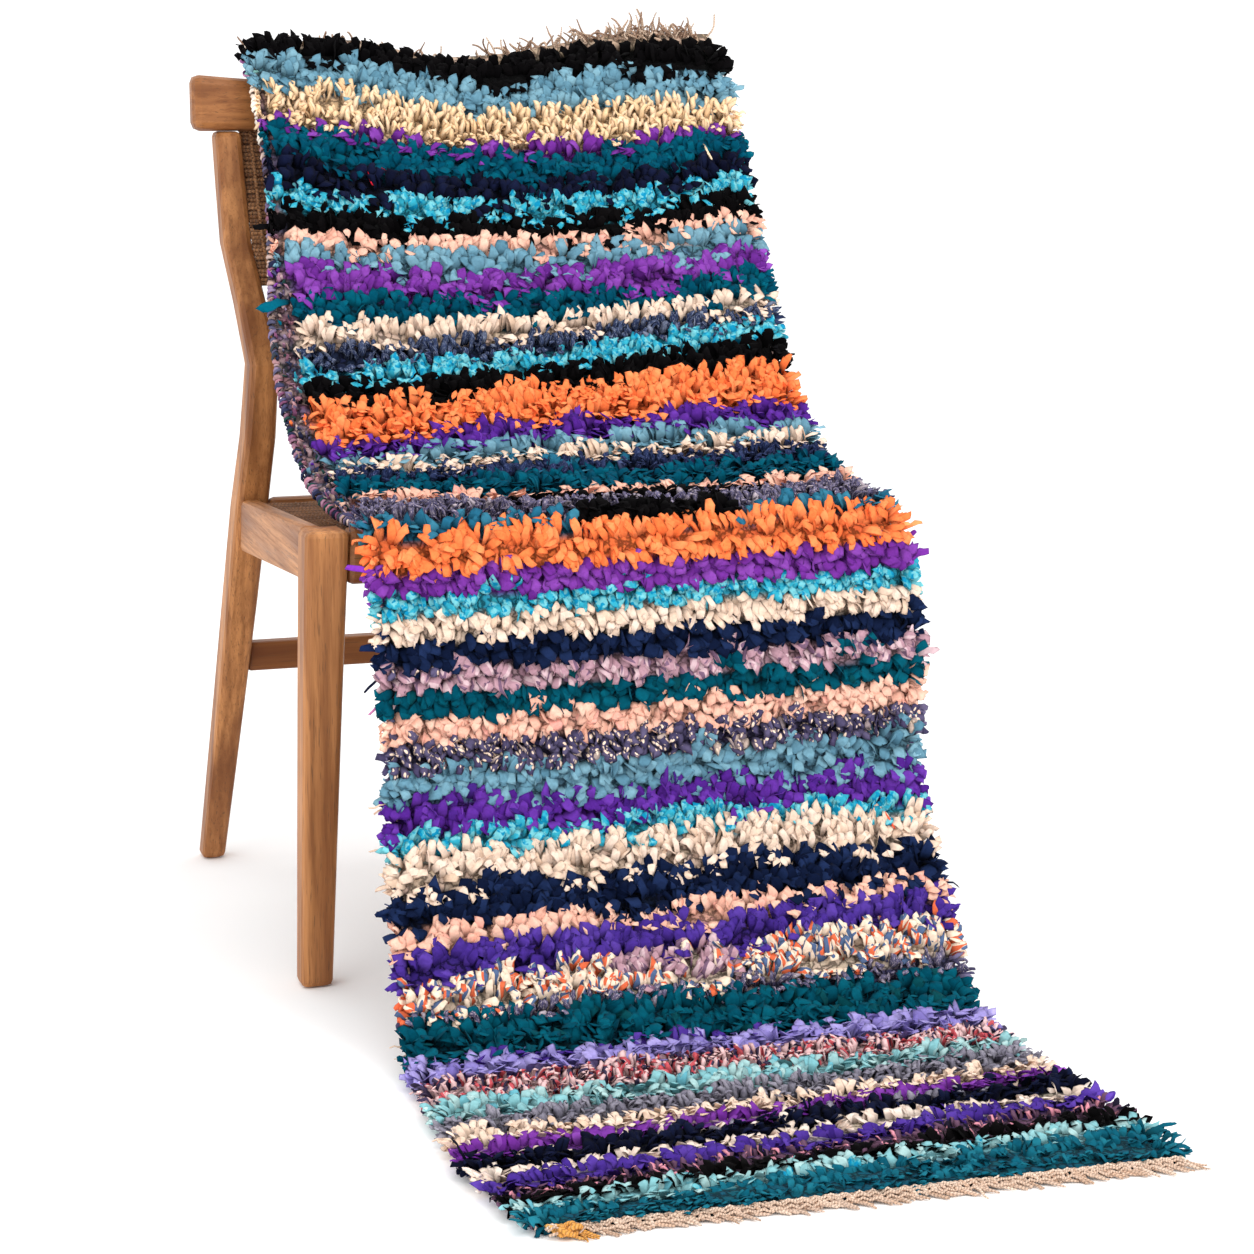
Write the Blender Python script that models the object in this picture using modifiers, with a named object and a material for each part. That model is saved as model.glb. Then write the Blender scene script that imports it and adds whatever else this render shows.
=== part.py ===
"""Boucherouite rug hung over a plain wooden chair, at real size.

Metres, +Z up. The chair faces -Y, its centre plane is X = 0 and the floor is Z = 0. The rug stands up
a little over the top rail, swings down to the front of the seat, falls over it and runs out on the
floor. At the end the whole model is moved so that its box is centred over the origin.
"""

import math

import bpy
import bmesh
import numpy as np
from mathutils import Vector

# ---------------------------------------------------------------- driving dimensions
GAP = 0.0003  # between any two pieces
SEAT_HEIGHT = 0.4445  # top of the front legs and of the front seat rail
SEAT_BACK_HEIGHT = 0.4200  # top of the rear seat rail, as the seat falls to the back
SEAT_RAIL_HEIGHT = 0.052
BOARD = 0.022  # thickness of the seat rails
FRONT_RAIL_Y = (-0.016, 0.014)  # its front and back face
SIDE_RAIL_X = (-0.277, -0.265)  # the left rail's outer face at its front and its rear end
SIDE_RAIL_CLEARANCE = 0.0007  # from the front leg, whose section is a little curved
REAR_RAIL_EXTRA = 0.006  # how much higher the rear seat rail is than the front one
REAR_RAIL_SET = 0.002  # how far it stands before the front of the posts
SEAT_PANEL_SET = 0.002  # how far the woven seat lies below the rails' tops
CORNER = 0.006  # rounding of the chair's long edges

TOP_RAIL_HALF = 0.293  # half its length
TOP_RAIL_Z = (0.8068, 0.866)  # its lower and upper edge
TOP_RAIL_THICK = 0.032
TOP_RAIL_Y = 0.483  # its front face at the middle
BACK_BOW = 0.030  # how far the ends of the back stand forward of its middle
TOP_RAIL_ROUND = 0.009
TOP_RAIL_DISH = 0.012  # how much lower its upper edge is at the middle
LOWER_RAIL_Z = (0.602, 0.645)
LOWER_RAIL_THICK = 0.020
LOWER_RAIL_SET = 0.006  # how far it stands behind the front of the posts
BACK_STATIONS = 7  # sections of a bowed board on each side of its middle
BACK_PANEL_THICK = 0.010
PANEL_CLEARANCE = 0.001  # at each side of the woven back
SEAT_PANEL_THICK = 0.016
SEAT_SAG = 0.007  # how far the middle of the woven seat sinks
STRETCHER_Z = (0.2225, 0.2545)
STRETCHER_Y = (0.443, 0.463)

# a leg's section, level by level: height, centre x of the left leg, centre y, width, depth
FRONT_LEG = (
    (0.0000, -0.2745, 0.0100, 0.031, 0.031),
    (0.2900, -0.2650, 0.0030, 0.038, 0.038),
    (SEAT_HEIGHT, -0.2590, 0.0000, 0.042, 0.042),
)
REAR_LEG = (
    (0.0000, -0.2866, 0.5079, 0.0260, 0.0295),
    (0.2000, -0.2689, 0.4625, 0.0305, 0.0395),
    (0.4100, -0.2514, 0.4151, 0.0350, 0.0425),
    (0.5650, -0.2406, 0.3806, 0.0310, 0.0410),
    (0.6900, -0.2548, 0.4368, 0.0300, 0.0355),
    (TOP_RAIL_Z[0] - GAP, -0.2545, 0.4788, 0.0280, 0.0330),
)

# The rug's underside from its upper end to its floor end: y and z, then its left and right edge
RUG_PATH = (
    (0.496, 0.8930, -0.229, 0.296),
    (0.481, 0.8870, -0.229, 0.296),
    (0.468, 0.8760, -0.229, 0.296),
    (0.458, 0.8580, -0.229, 0.296),
    (0.446, 0.8330, -0.229, 0.297),
    (0.428, 0.8060, -0.228, 0.297),
    (0.402, 0.7750, -0.228, 0.296),
    (0.368, 0.7200, -0.232, 0.294),
    (0.330, 0.6600, -0.239, 0.294),
    (0.288, 0.6000, -0.247, 0.293),
    (0.240, 0.5450, -0.249, 0.291),
    (0.185, 0.5000, -0.248, 0.290),
    (0.130, 0.4700, -0.246, 0.291),
    (0.075, 0.4530, -0.241, 0.291),
    (0.022, 0.4450, -0.232, 0.291),
    (-0.014, 0.4449, -0.2265, 0.292),
    (-0.033, 0.4400, -0.2245, 0.295),
    (-0.047, 0.4200, -0.223, 0.300),
    (-0.057, 0.3850, -0.221, 0.306),
    (-0.074, 0.3100, -0.218, 0.307),
    (-0.090, 0.2500, -0.219, 0.301),
    (-0.108, 0.2000, -0.223, 0.292),
    (-0.138, 0.1500, -0.229, 0.289),
    (-0.175, 0.1000, -0.233, 0.288),
    (-0.215, 0.0530, -0.238, 0.287),
    (-0.255, 0.0170, -0.244, 0.281),
    (-0.300, 0.0000, -0.248, 0.271),
    (-0.400, 0.0000, -0.255, 0.268),
    (-0.512, 0.0000, -0.260, 0.275),
    (-0.574, 0.0000, -0.252, 0.284),
    (-0.648, 0.0000, -0.240, 0.284),
)
RUG_STEP = 0.024  # length of one facet along the rug
RUG_CELLS = 20  # facets across the rug
TANGENT_STEP = 0.004  # half the length over which the surface's slope is taken
GROUND = 0.005  # thickness of the woven ground
PILE = 0.025  # thickness of ground and pile together
PILE_START = 0.022  # the flat-woven upper end has no pile
PILE_STEP = 0.004  # the pile reaches its full height over this length
LUMP = 0.0035  # how much the pile's surface rises and falls
PILE_RIM = 0.70  # share of the pile's height that is left at the edges
DIP = 0.020  # how far the middle of the upper end sags
DIP_MIDDLE = 0.43  # share of the width where it is deepest
DIP_REACH = (0.24, 0.42)  # how far it reaches to the left and to the right of there
DIP_FADES = (0.02, 0.24)  # the sag fades between these lengths down the rug
BULGE = 0.010  # the slack of that sag stands forward below it
BULGE_ENDS = 0.30
BACK_FADES = (0.10, 0.45)  # between these lengths the rug leaves the bow of the chair's back
END_SKEW = 0.024  # the floor end's right corner lies this much further forward
END_SKEW_FROM = 1.15

# rim locks: each strip is parted from the cloth's edge, one strip for each bend of the rug
STRIP = 0.008  # width of a strip
STRIP_HEIGHT = 0.015
LOCK_LENGTH = (0.006, 0.013)
LOCK_TIP = 0.42  # a lock's tip, as a share of its root
RIM_BENDS = (
    ("crest", 0.028, 0.060),
    ("rail", 0.060, 0.130),
    ("hang", 0.130, 0.400),
    ("swing", 0.400, 0.600),
    ("seat", 0.600, 0.730),
    ("edge", 0.730, 0.800),
    ("drop", 0.800, 1.040),
    ("flare", 1.040, 1.250),
    ("floor", 1.250, 1.612),
)
LOCK_DRIFT = 0.004  # how far a tip leans along the strip
LOCK_RISE = 0.003  # how far a tip rises at most
LOCK_SINK = -STRIP_HEIGHT * (1 - LOCK_TIP) / 2  # brings a tip's underside down to the floor
LOCK_LIFTS = {  # tips over the front legs rise more, and those on the floor rest on it
    "seat": (0.007, 0.010),
    "edge": (0.007, 0.010),
    "floor": (LOCK_SINK, LOCK_SINK),
}

# fringes
UPPER_BAND = 0.006  # width of the strip that carries the upper fringe
UPPER_BAND_HEIGHT = 0.004
UPPER_STRANDS = 34
UPPER_STRAND = (0.014, 0.036)  # shortest and longest
UPPER_JOINTS = ((0.55, 0.62), (1.0, 0.95), (0.75, 0.95))  # rise and section share of each joint
UPPER_LEAN = 0.5  # how far strands lean to either side
FLOOR_BAND = 0.011
FLOOR_BAND_HEIGHT = 0.006
FLOOR_TIPS = 62
FLOOR_TIP = (0.006, 0.015)
FLOOR_TIP_DRIFT = (-0.002, 0.004)
FLOOR_TIP_SHARE = 0.5

OAK = ("oak", (0.47, 0.26, 0.12, 1.0), 0.45)
CORD = ("paper cord", (0.16, 0.09, 0.05, 1.0), 0.75)
RAGS = ("rag pile", (0.10, 0.20, 0.32, 1.0), 0.90)
LOCKS = ("rag locks", (0.30, 0.16, 0.42, 1.0), 0.90)
WARP = ("warp yarn", (0.60, 0.48, 0.36, 1.0), 0.85)

COLLECTION = "rug over a chair"
RANDOM_SEED = 7


# ---------------------------------------------------------------- small helpers
def clear_scene():
    for obj in list(bpy.data.objects):
        bpy.data.objects.remove(obj, do_unlink=True)


def make_material(finish):
    name, colour, roughness = finish
    material = bpy.data.materials.get(name) or bpy.data.materials.new(name)
    material.use_nodes = True
    shader = material.node_tree.nodes["Principled BSDF"]
    shader.inputs["Base Color"].default_value = colour
    shader.inputs["Roughness"].default_value = roughness
    shader.inputs["Metallic"].default_value = 0.0
    return material


def finish_object(name, mesh_builder, finish, bevel=0.0):
    """Turns a bmesh into one object of the model, with its rounding as a Bevel modifier."""
    bmesh.ops.recalc_face_normals(mesh_builder, faces=mesh_builder.faces)
    if mesh_builder.calc_volume(signed=True) < 0:
        bmesh.ops.reverse_faces(mesh_builder, faces=mesh_builder.faces)
    mesh = bpy.data.meshes.new(name)
    mesh_builder.to_mesh(mesh)
    mesh_builder.free()
    mesh.materials.append(make_material(finish))
    obj = bpy.data.objects.new(name, mesh)
    bpy.data.collections[COLLECTION].objects.link(obj)
    if bevel:
        rounding = obj.modifiers.new("rounding", "BEVEL")
        rounding.width = bevel
        rounding.segments = 2
        rounding.limit_method = "ANGLE"
        rounding.angle_limit = math.radians(40)
    return obj


def box(name, place, finish, bevel=0.0):
    """A cube whose corners go where place(x sign, y sign, z sign) says."""
    shape = bmesh.new()
    bmesh.ops.create_cube(shape, size=2.0)
    for vert in shape.verts:
        signs = [1 if value > 0 else -1 for value in vert.co]
        vert.co = place(*signs)
    return finish_object(name, shape, finish, bevel)


def add_loft(shape, rings):
    """Joins rings of equal count into one closed skin and returns the rings' vertices."""
    rows = [[shape.verts.new(point) for point in ring] for ring in rings]
    count = len(rows[0])
    for row, following in zip(rows, rows[1:]):
        for i in range(count):
            j = (i + 1) % count
            shape.faces.new((row[i], row[j], following[j], following[i]))
    shape.faces.new(rows[0][::-1])
    shape.faces.new(rows[-1])
    return rows


def loft(name, rings, finish, bevel=0.0):
    shape = bmesh.new()
    add_loft(shape, rings)
    return finish_object(name, shape, finish, bevel)


def pick(sign, low, high):
    return high if sign > 0 else low


def blend(value, start, end):
    """0 before start, 1 after end and smooth between."""
    t = min(max((value - start) / (end - start), 0.0), 1.0)
    return t * t * (3 - 2 * t)


# ---------------------------------------------------------------- smooth tables
def monotone_slopes(knots, values):
    """Slopes of a curve through the values that never overshoots them."""
    widths = np.diff(knots)
    rises = np.diff(values) / widths
    slopes = np.zeros(len(values))
    slopes[0], slopes[-1] = rises[0], rises[-1]
    for i in range(1, len(values) - 1):
        before, after = rises[i - 1], rises[i]
        if before * after > 0:
            w1 = 2 * widths[i] + widths[i - 1]
            w2 = widths[i] + 2 * widths[i - 1]
            slopes[i] = (w1 + w2) / (w1 / before + w2 / after)
    return slopes


def curve_value(knots, values, slopes, at):
    i = int(np.clip(np.searchsorted(knots, at) - 1, 0, len(knots) - 2))
    width = knots[i + 1] - knots[i]
    t = (at - knots[i]) / width
    return (
        values[i] * (1 + 2 * t) * (1 - t) ** 2
        + slopes[i] * width * t * (1 - t) ** 2
        + values[i + 1] * t * t * (3 - 2 * t)
        + slopes[i + 1] * width * t * t * (t - 1)
    )


class SmoothTable:
    """Rows of a table read as smooth curves over a knot value."""

    def __init__(self, knots, columns):
        self.knots = np.array(knots, float)
        self.columns = [np.array(column, float) for column in columns]
        self.slopes = [monotone_slopes(self.knots, column) for column in self.columns]

    def at(self, value):
        pairs = zip(self.columns, self.slopes)
        return [curve_value(self.knots, column, slope, value) for column, slope in pairs]


# ---------------------------------------------------------------- the chair
def mirrored(side, x):
    """x of the left piece, or of its twin on the right."""
    return x if side < 0 else -x


def leg(name, side, stations, finish=OAK):
    table = SmoothTable([row[0] for row in stations], list(zip(*stations))[1:])
    levels = [row[0] for row in stations]
    levels = sorted(levels + [(low + high) / 2 for low, high in zip(levels, levels[1:])])
    rings = []
    for z in levels:
        x, y, width, depth = table.at(z)
        x = mirrored(side, x)
        corners = ((-1, -1), (1, -1), (1, 1), (-1, 1))
        rings.append([(x + cx * width / 2, y + cy * depth / 2, z) for cx, cy in corners])
    return loft(name, rings, finish, CORNER)


def leg_face(stations, z, towards):
    """x (towards 'inside') or y (towards 'front' or 'back') of the left leg's face at a height."""
    table = SmoothTable([row[0] for row in stations], list(zip(*stations))[1:])
    x, y, width, depth = table.at(z)
    return {"inside": x + width / 2, "front": y - depth / 2, "back": y + depth / 2}[towards]


def back_bow(x):
    """y of the curved back at x, measured from its middle."""
    return -BACK_BOW * (x / TOP_RAIL_HALF) ** 2


def bowed_board(name, lower_edge, upper_edge, thick, finish, bevel=0.0, dish=0.0):
    """A board bent like the chair's back. An edge is its half length, its height and its front's y."""
    rings = []
    for step in range(-BACK_STATIONS, BACK_STATIONS + 1):
        share = step / BACK_STATIONS
        ring = []
        for (half, z, front), dip in ((lower_edge, 0.0), (upper_edge, dish)):
            x = share * half
            face = front + back_bow(x)
            level = z - dip * (1 - share**2)
            ring.append(((x, face, level), (x, face + thick, level)))
        (low_front, low_back), (high_front, high_back) = ring
        rings.append([low_front, low_back, high_back, high_front])
    return loft(name, rings, finish, bevel)


def build_back():
    z_low, z_high = TOP_RAIL_Z
    bowed_board(
        "top_rail", (TOP_RAIL_HALF, z_low, TOP_RAIL_Y), (TOP_RAIL_HALF, z_high, TOP_RAIL_Y),
        TOP_RAIL_THICK, OAK, TOP_RAIL_ROUND, TOP_RAIL_DISH,
    )
    low, high = LOWER_RAIL_Z
    inside = max(leg_face(REAR_LEG, low, "inside"), leg_face(REAR_LEG, high, "inside"))
    half = -inside - GAP
    post_bow = back_bow(REAR_LEG[-1][1])
    front = leg_face(REAR_LEG, (low + high) / 2, "front") + LOWER_RAIL_SET - post_bow
    bowed_board("lower_back_rail", (half, low, front), (half, high, front), LOWER_RAIL_THICK, OAK, CORNER)
    edges = []
    for z, board_front, board_thick in (
        (high + GAP, front, LOWER_RAIL_THICK),
        (z_low - GAP, TOP_RAIL_Y, TOP_RAIL_THICK),
    ):
        half = -leg_face(REAR_LEG, z, "inside") - PANEL_CLEARANCE
        edges.append((half, z, board_front + (board_thick - BACK_PANEL_THICK) / 2))
    bowed_board("woven_back", edges[0], edges[1], BACK_PANEL_THICK, CORD)


def build_seat():
    top, low = SEAT_HEIGHT, SEAT_HEIGHT - SEAT_RAIL_HEIGHT
    leg_top = leg_face(FRONT_LEG, top, "inside") + GAP
    leg_low = leg_face(FRONT_LEG, low, "inside") + GAP
    box(
        "front_seat_rail",
        lambda sx, sy, sz: (sx * -pick(sz, leg_low, leg_top), pick(sy, *FRONT_RAIL_Y), pick(sz, low, top)),
        OAK, CORNER,
    )
    rear_top, rear_low = SEAT_BACK_HEIGHT, SEAT_BACK_HEIGHT - SEAT_RAIL_HEIGHT - REAR_RAIL_EXTRA
    starts = leg_face(FRONT_LEG, top, "back") + SIDE_RAIL_CLEARANCE
    ends_top = leg_face(REAR_LEG, rear_top, "front") - GAP
    ends_low = leg_face(REAR_LEG, rear_low, "front") - GAP
    for side, word in ((-1, "left"), (1, "right")):
        def place(sx, sy, sz, side=side):
            face = pick(sy, *SIDE_RAIL_X)
            x = face + (BOARD if sx > 0 else 0.0)
            y = pick(sy, starts, pick(sz, ends_low, ends_top))
            z = pick(sy, pick(sz, low, top), pick(sz, rear_low, rear_top))
            return mirrored(side, x), y, z

        box(f"{word}_seat_rail", place, OAK, CORNER)
    inside = -leg_face(REAR_LEG, rear_low, "inside") - GAP
    inside_top = -leg_face(REAR_LEG, rear_top, "inside") - GAP
    rear_front = ends_top - REAR_RAIL_SET
    box(
        "rear_seat_rail",
        lambda sx, sy, sz: (
            sx * pick(sz, inside, inside_top),
            pick(sy, rear_front, rear_front + BOARD),
            pick(sz, rear_low, rear_top),
        ),
        OAK, CORNER,
    )
    build_woven_seat(FRONT_RAIL_Y[1] + GAP, starts, rear_front - GAP)


def build_woven_seat(first, behind_legs, last):
    """The cord seat fills the frame, reaches forward between the front legs and sags a little."""
    between_legs = -leg_face(FRONT_LEG, SEAT_HEIGHT, "inside") - 2 * GAP
    places = [(first, 0.0), (behind_legs - GAP, 0.0)]
    places += [(behind_legs + (last - behind_legs) * step / 8, 1.0) for step in range(9)]
    rings = []
    for y, wide in places:
        share = (y - first) / (last - first)
        rail_face = SIDE_RAIL_X[0] + share * (SIDE_RAIL_X[1] - SIDE_RAIL_X[0]) + BOARD
        half = -rail_face - 3 * GAP
        half = half if wide else min(half, between_legs)
        sag = SEAT_SAG * math.sin(math.pi * share)
        z = SEAT_HEIGHT - SEAT_PANEL_SET + share * (SEAT_BACK_HEIGHT - SEAT_HEIGHT) - sag
        low = z - SEAT_PANEL_THICK
        rings.append([(-half, y, low), (half, y, low), (half, y, z), (-half, y, z)])
    loft("woven_seat", rings, CORD)


def build_stretcher():
    low, high = STRETCHER_Z
    ends = [-leg_face(REAR_LEG, z, "inside") - GAP for z in STRETCHER_Z]
    box(
        "rear_stretcher",
        lambda sx, sy, sz: (sx * pick(sz, *ends), pick(sy, *STRETCHER_Y), pick(sz, low, high)),
        OAK, CORNER / 2,
    )


def build_chair():
    for side, word in ((-1, "left"), (1, "right")):
        leg(f"front_{word}_leg", side, FRONT_LEG)
        leg(f"rear_{word}_leg", side, REAR_LEG)
    build_back()
    build_seat()
    build_stretcher()


# ---------------------------------------------------------------- the rug's surface
class RugSurface:
    """Where the rug's underside lies, by length down the rug and by share of its width."""

    def __init__(self):
        rows = np.array(RUG_PATH)
        steps = np.hypot(np.diff(rows[:, 0]), np.diff(rows[:, 1]))
        self.knots = np.concatenate([[0.0], np.cumsum(steps)])
        self.length = float(self.knots[-1])
        self.table = SmoothTable(self.knots, rows.T)
        self.stations = self.make_stations()

    def make_stations(self):
        """Every row of the path, the start of the pile, and even steps between them."""
        stops = sorted(list(self.knots) + [PILE_START, PILE_START + PILE_STEP])
        stations = []
        for a, b in zip(stops, stops[1:]):
            count = max(1, math.ceil((b - a) / RUG_STEP - 0.25))
            stations += [a + (b - a) * i / count for i in range(count)]
        return stations + [self.length]

    def sag(self, share):
        """0 to 1 across the rug: steep on the left of the middle, slower on the right."""
        reach = pick(share - DIP_MIDDLE, *DIP_REACH)
        return math.cos(math.pi / 2 * min(abs(share - DIP_MIDDLE) / reach, 1.0)) ** 2

    def point(self, length, share, height=0.0):
        y, z, left, right = self.table.at(length)
        normal = self.normal(length)
        x = left + share * (right - left)
        follow = 1 - blend(length, *BACK_FADES)
        y += (back_bow(x) - back_bow(left)) * follow
        z -= DIP * self.sag(share) * (1 - blend(length, *DIP_FADES))
        y -= BULGE * self.sag(share) * math.sin(math.pi * min(length / BULGE_ENDS, 1.0)) ** 2
        y -= END_SKEW * share * blend(length, END_SKEW_FROM, self.length)
        return Vector((x, y + height * normal[0], z + height * normal[1]))

    def tangent(self, length):
        before = self.table.at(max(length - TANGENT_STEP, 0.0))
        after = self.table.at(min(length + TANGENT_STEP, self.length))
        return Vector((after[0] - before[0], after[1] - before[1])).normalized()

    def normal(self, length):
        """Towards the pile, as (y, z)."""
        along = self.tangent(length)
        return along.y, -along.x


def build_rug_body(rug, rng):
    """The lumpy slab of ground and pile, thin at its flat-woven upper end."""
    shape = bmesh.new()
    under, over = [], []
    for length in rug.stations:
        low_row, high_row = [], []
        piled = length > PILE_START
        for cell in range(RUG_CELLS + 1):
            share = cell / RUG_CELLS
            edge = PILE_RIM if cell in (0, RUG_CELLS) else 1.0
            lump = LUMP * rng.uniform(-1.0, 1.0)
            height = (PILE + lump) * edge if piled else GROUND
            low_row.append(shape.verts.new(rug.point(length, share)))
            high_row.append(shape.verts.new(rug.point(length, share, height)))
        under.append(low_row)
        over.append(high_row)
    last = len(rug.stations) - 1
    for i in range(last):
        for j in range(RUG_CELLS):
            shape.faces.new((over[i][j], over[i][j + 1], over[i + 1][j + 1], over[i + 1][j]))
            shape.faces.new((under[i][j], under[i + 1][j], under[i + 1][j + 1], under[i][j + 1]))
        for j in (0, RUG_CELLS):
            shape.faces.new((under[i][j], over[i][j], over[i + 1][j], under[i + 1][j]))
    for i in (0, last):
        for j in range(RUG_CELLS):
            shape.faces.new((under[i][j], under[i][j + 1], over[i][j + 1], over[i][j]))
    return finish_object("rug_body", shape, RAGS)


def grow(shape, face, way, tip):
    """Draws one face out along way into a strand that keeps the share tip of its section."""
    grown = bmesh.ops.extrude_discrete_faces(shape, faces=[face])["faces"][0]
    centre = grown.calc_center_median()
    for vert in grown.verts:
        vert.co = centre + (vert.co - centre) * tip + way
    return grown


def band_faces(rows):
    """The faces on a strip's free edge, which its second and third corners bound."""
    faces = []
    for row, following in zip(rows, rows[1:]):
        corners = {row[1], row[2], following[1], following[2]}
        faces += [face for face in row[1].link_faces if set(face.verts) == corners]
    return faces


def build_rim(rug, rng, side, bend, start, end):
    """A narrow strip beside the cloth's edge with the rag locks that stand out past it.

    Its cells are the cloth's own facets, so that the two edges run side by side.
    """
    word = "left" if side < 0 else "right"
    share = 0.0 if side < 0 else 1.0
    outward = Vector((side, 0.0, 0.0))
    near, far = outward * GAP, outward * (GAP + STRIP)
    rings = []
    for length in [station for station in rug.stations if start <= station <= end]:
        low = rug.point(length, share)
        high = rug.point(length, share, STRIP_HEIGHT)
        rings.append([low + near, low + far, high + far, high + near])
    short = 2 * GAP / (rings[-1][0] - rings[-2][0]).length
    rings[-1] = [point.lerp(before, short) for point, before in zip(rings[-1], rings[-2])]
    shape = bmesh.new()
    rows = add_loft(shape, rings)

    lift = LOCK_LIFTS.get(bend, (0.0, LOCK_RISE))
    for face in band_faces(rows):
        reach = side * rng.uniform(*LOCK_LENGTH)
        drift = rng.uniform(-LOCK_DRIFT, LOCK_DRIFT)
        grow(shape, face, Vector((reach, drift, rng.uniform(*lift))), LOCK_TIP)
    for vert in shape.verts:
        vert.co.z = max(vert.co.z, 0.0)
    return finish_object(f"{word}_locks_{bend}", shape, LOCKS)


def strip_across(rug, length_from, length_to, height, cells):
    """Rings of a thin band across the rug, beyond one of its ends, running from left to right."""
    rings = []
    for i in range(cells + 1):
        share = i / cells
        ends = []
        for beyond in (length_from, length_to):
            anchor = min(max(beyond, 0.0), rug.length)
            along = rug.tangent(anchor)
            extra = beyond - anchor
            offset = Vector((0.0, along.x * extra, along.y * extra))
            ends.append((rug.point(anchor, share) + offset, rug.point(anchor, share, height) + offset))
        (near_low, near_high), (far_low, far_high) = ends
        rings.append([near_low, far_low, far_high, near_high])
    return rings


def build_floor_fringe(rug, rng):
    """The warp band of the floor end with its short tips, which lie on the floor."""
    start = rug.length + GAP
    shape = bmesh.new()
    rows = add_loft(shape, strip_across(rug, start, start + FLOOR_BAND, FLOOR_BAND_HEIGHT, FLOOR_TIPS))
    sink = FLOOR_BAND_HEIGHT * (1 - FLOOR_TIP_SHARE) / 2
    for face in band_faces(rows):
        way = Vector((rng.uniform(*FLOOR_TIP_DRIFT), -rng.uniform(*FLOOR_TIP), -sink))
        for vert in grow(shape, face, way, FLOOR_TIP_SHARE).verts:
            vert.co.z = max(vert.co.z, 0.0)
    return finish_object("floor_fringe", shape, WARP)


def build_upper_fringe(rug, rng):
    """Loose warp ends that stand up and back from the flat-woven upper end."""
    shape = bmesh.new()
    band = strip_across(rug, -GAP, -GAP - UPPER_BAND, UPPER_BAND_HEIGHT, 2 * UPPER_STRANDS)
    for tip in band_faces(add_loft(shape, band))[::2]:
        reach = rng.uniform(*UPPER_STRAND) / len(UPPER_JOINTS)
        sideways = rng.uniform(-UPPER_LEAN, UPPER_LEAN)
        back = rng.uniform(0.0, UPPER_LEAN)
        for rise, section in UPPER_JOINTS:
            tip = grow(shape, tip, Vector((sideways, back + 1 - rise, rise)) * reach, section)
    return finish_object("upper_fringe", shape, WARP)


def build_rug():
    rng = np.random.default_rng(RANDOM_SEED)
    rug = RugSurface()
    build_rug_body(rug, rng)
    for side in (-1, 1):
        for bend, start, end in RIM_BENDS:
            build_rim(rug, rng, side, bend, start, end)
    build_floor_fringe(rug, rng)
    build_upper_fringe(rug, rng)


# ---------------------------------------------------------------- placing
def centre_over_origin():
    """Moves every piece so that the model's box is centred over the origin, standing on Z = 0."""
    graph = bpy.context.evaluated_depsgraph_get()
    corners = []
    objects = list(bpy.data.collections[COLLECTION].objects)
    for obj in objects:
        mesh = obj.evaluated_get(graph).to_mesh()
        corners += [tuple(obj.matrix_world @ vert.co) for vert in mesh.vertices]
    points = np.array(corners)
    low, high = points.min(axis=0), points.max(axis=0)
    shift = Vector((-(low[0] + high[0]) / 2, -(low[1] + high[1]) / 2, -low[2]))
    for obj in objects:
        obj.location = shift


def main():
    clear_scene()
    collection = bpy.data.collections.new(COLLECTION)
    bpy.context.scene.collection.children.link(collection)
    build_chair()
    build_rug()
    bpy.context.view_layer.update()
    centre_over_origin()


main()
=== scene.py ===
import math
from collections import namedtuple

import bmesh
import bpy
import numpy as np
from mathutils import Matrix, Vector


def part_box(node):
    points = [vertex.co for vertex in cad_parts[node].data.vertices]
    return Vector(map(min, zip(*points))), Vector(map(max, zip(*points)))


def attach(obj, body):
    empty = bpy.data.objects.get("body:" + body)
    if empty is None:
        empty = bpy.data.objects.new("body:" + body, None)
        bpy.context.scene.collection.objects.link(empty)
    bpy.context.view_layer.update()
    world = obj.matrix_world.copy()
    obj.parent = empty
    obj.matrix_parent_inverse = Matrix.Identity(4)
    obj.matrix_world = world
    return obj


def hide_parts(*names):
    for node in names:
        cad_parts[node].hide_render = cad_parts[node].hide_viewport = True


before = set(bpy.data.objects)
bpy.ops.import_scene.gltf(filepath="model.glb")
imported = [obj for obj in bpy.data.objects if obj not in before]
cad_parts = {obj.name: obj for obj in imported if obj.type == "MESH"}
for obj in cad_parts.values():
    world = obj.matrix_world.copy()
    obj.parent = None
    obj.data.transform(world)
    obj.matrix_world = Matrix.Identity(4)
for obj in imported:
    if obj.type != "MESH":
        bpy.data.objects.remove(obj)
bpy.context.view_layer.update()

# ---------------------------------------------------------------- where the model stands
TOP_RAIL_LOW, TOP_RAIL_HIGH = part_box("top_rail")
FRONT_RAIL_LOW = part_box("front_seat_rail")[0]
CENTRE_X = (TOP_RAIL_LOW.x + TOP_RAIL_HIGH.x) / 2  # the chair's centre plane
FRONT_Y = FRONT_RAIL_LOW.y + 0.016  # centre of the front legs' tops
PLACE = np.array([CENTRE_X, FRONT_Y, 0.0])

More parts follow.
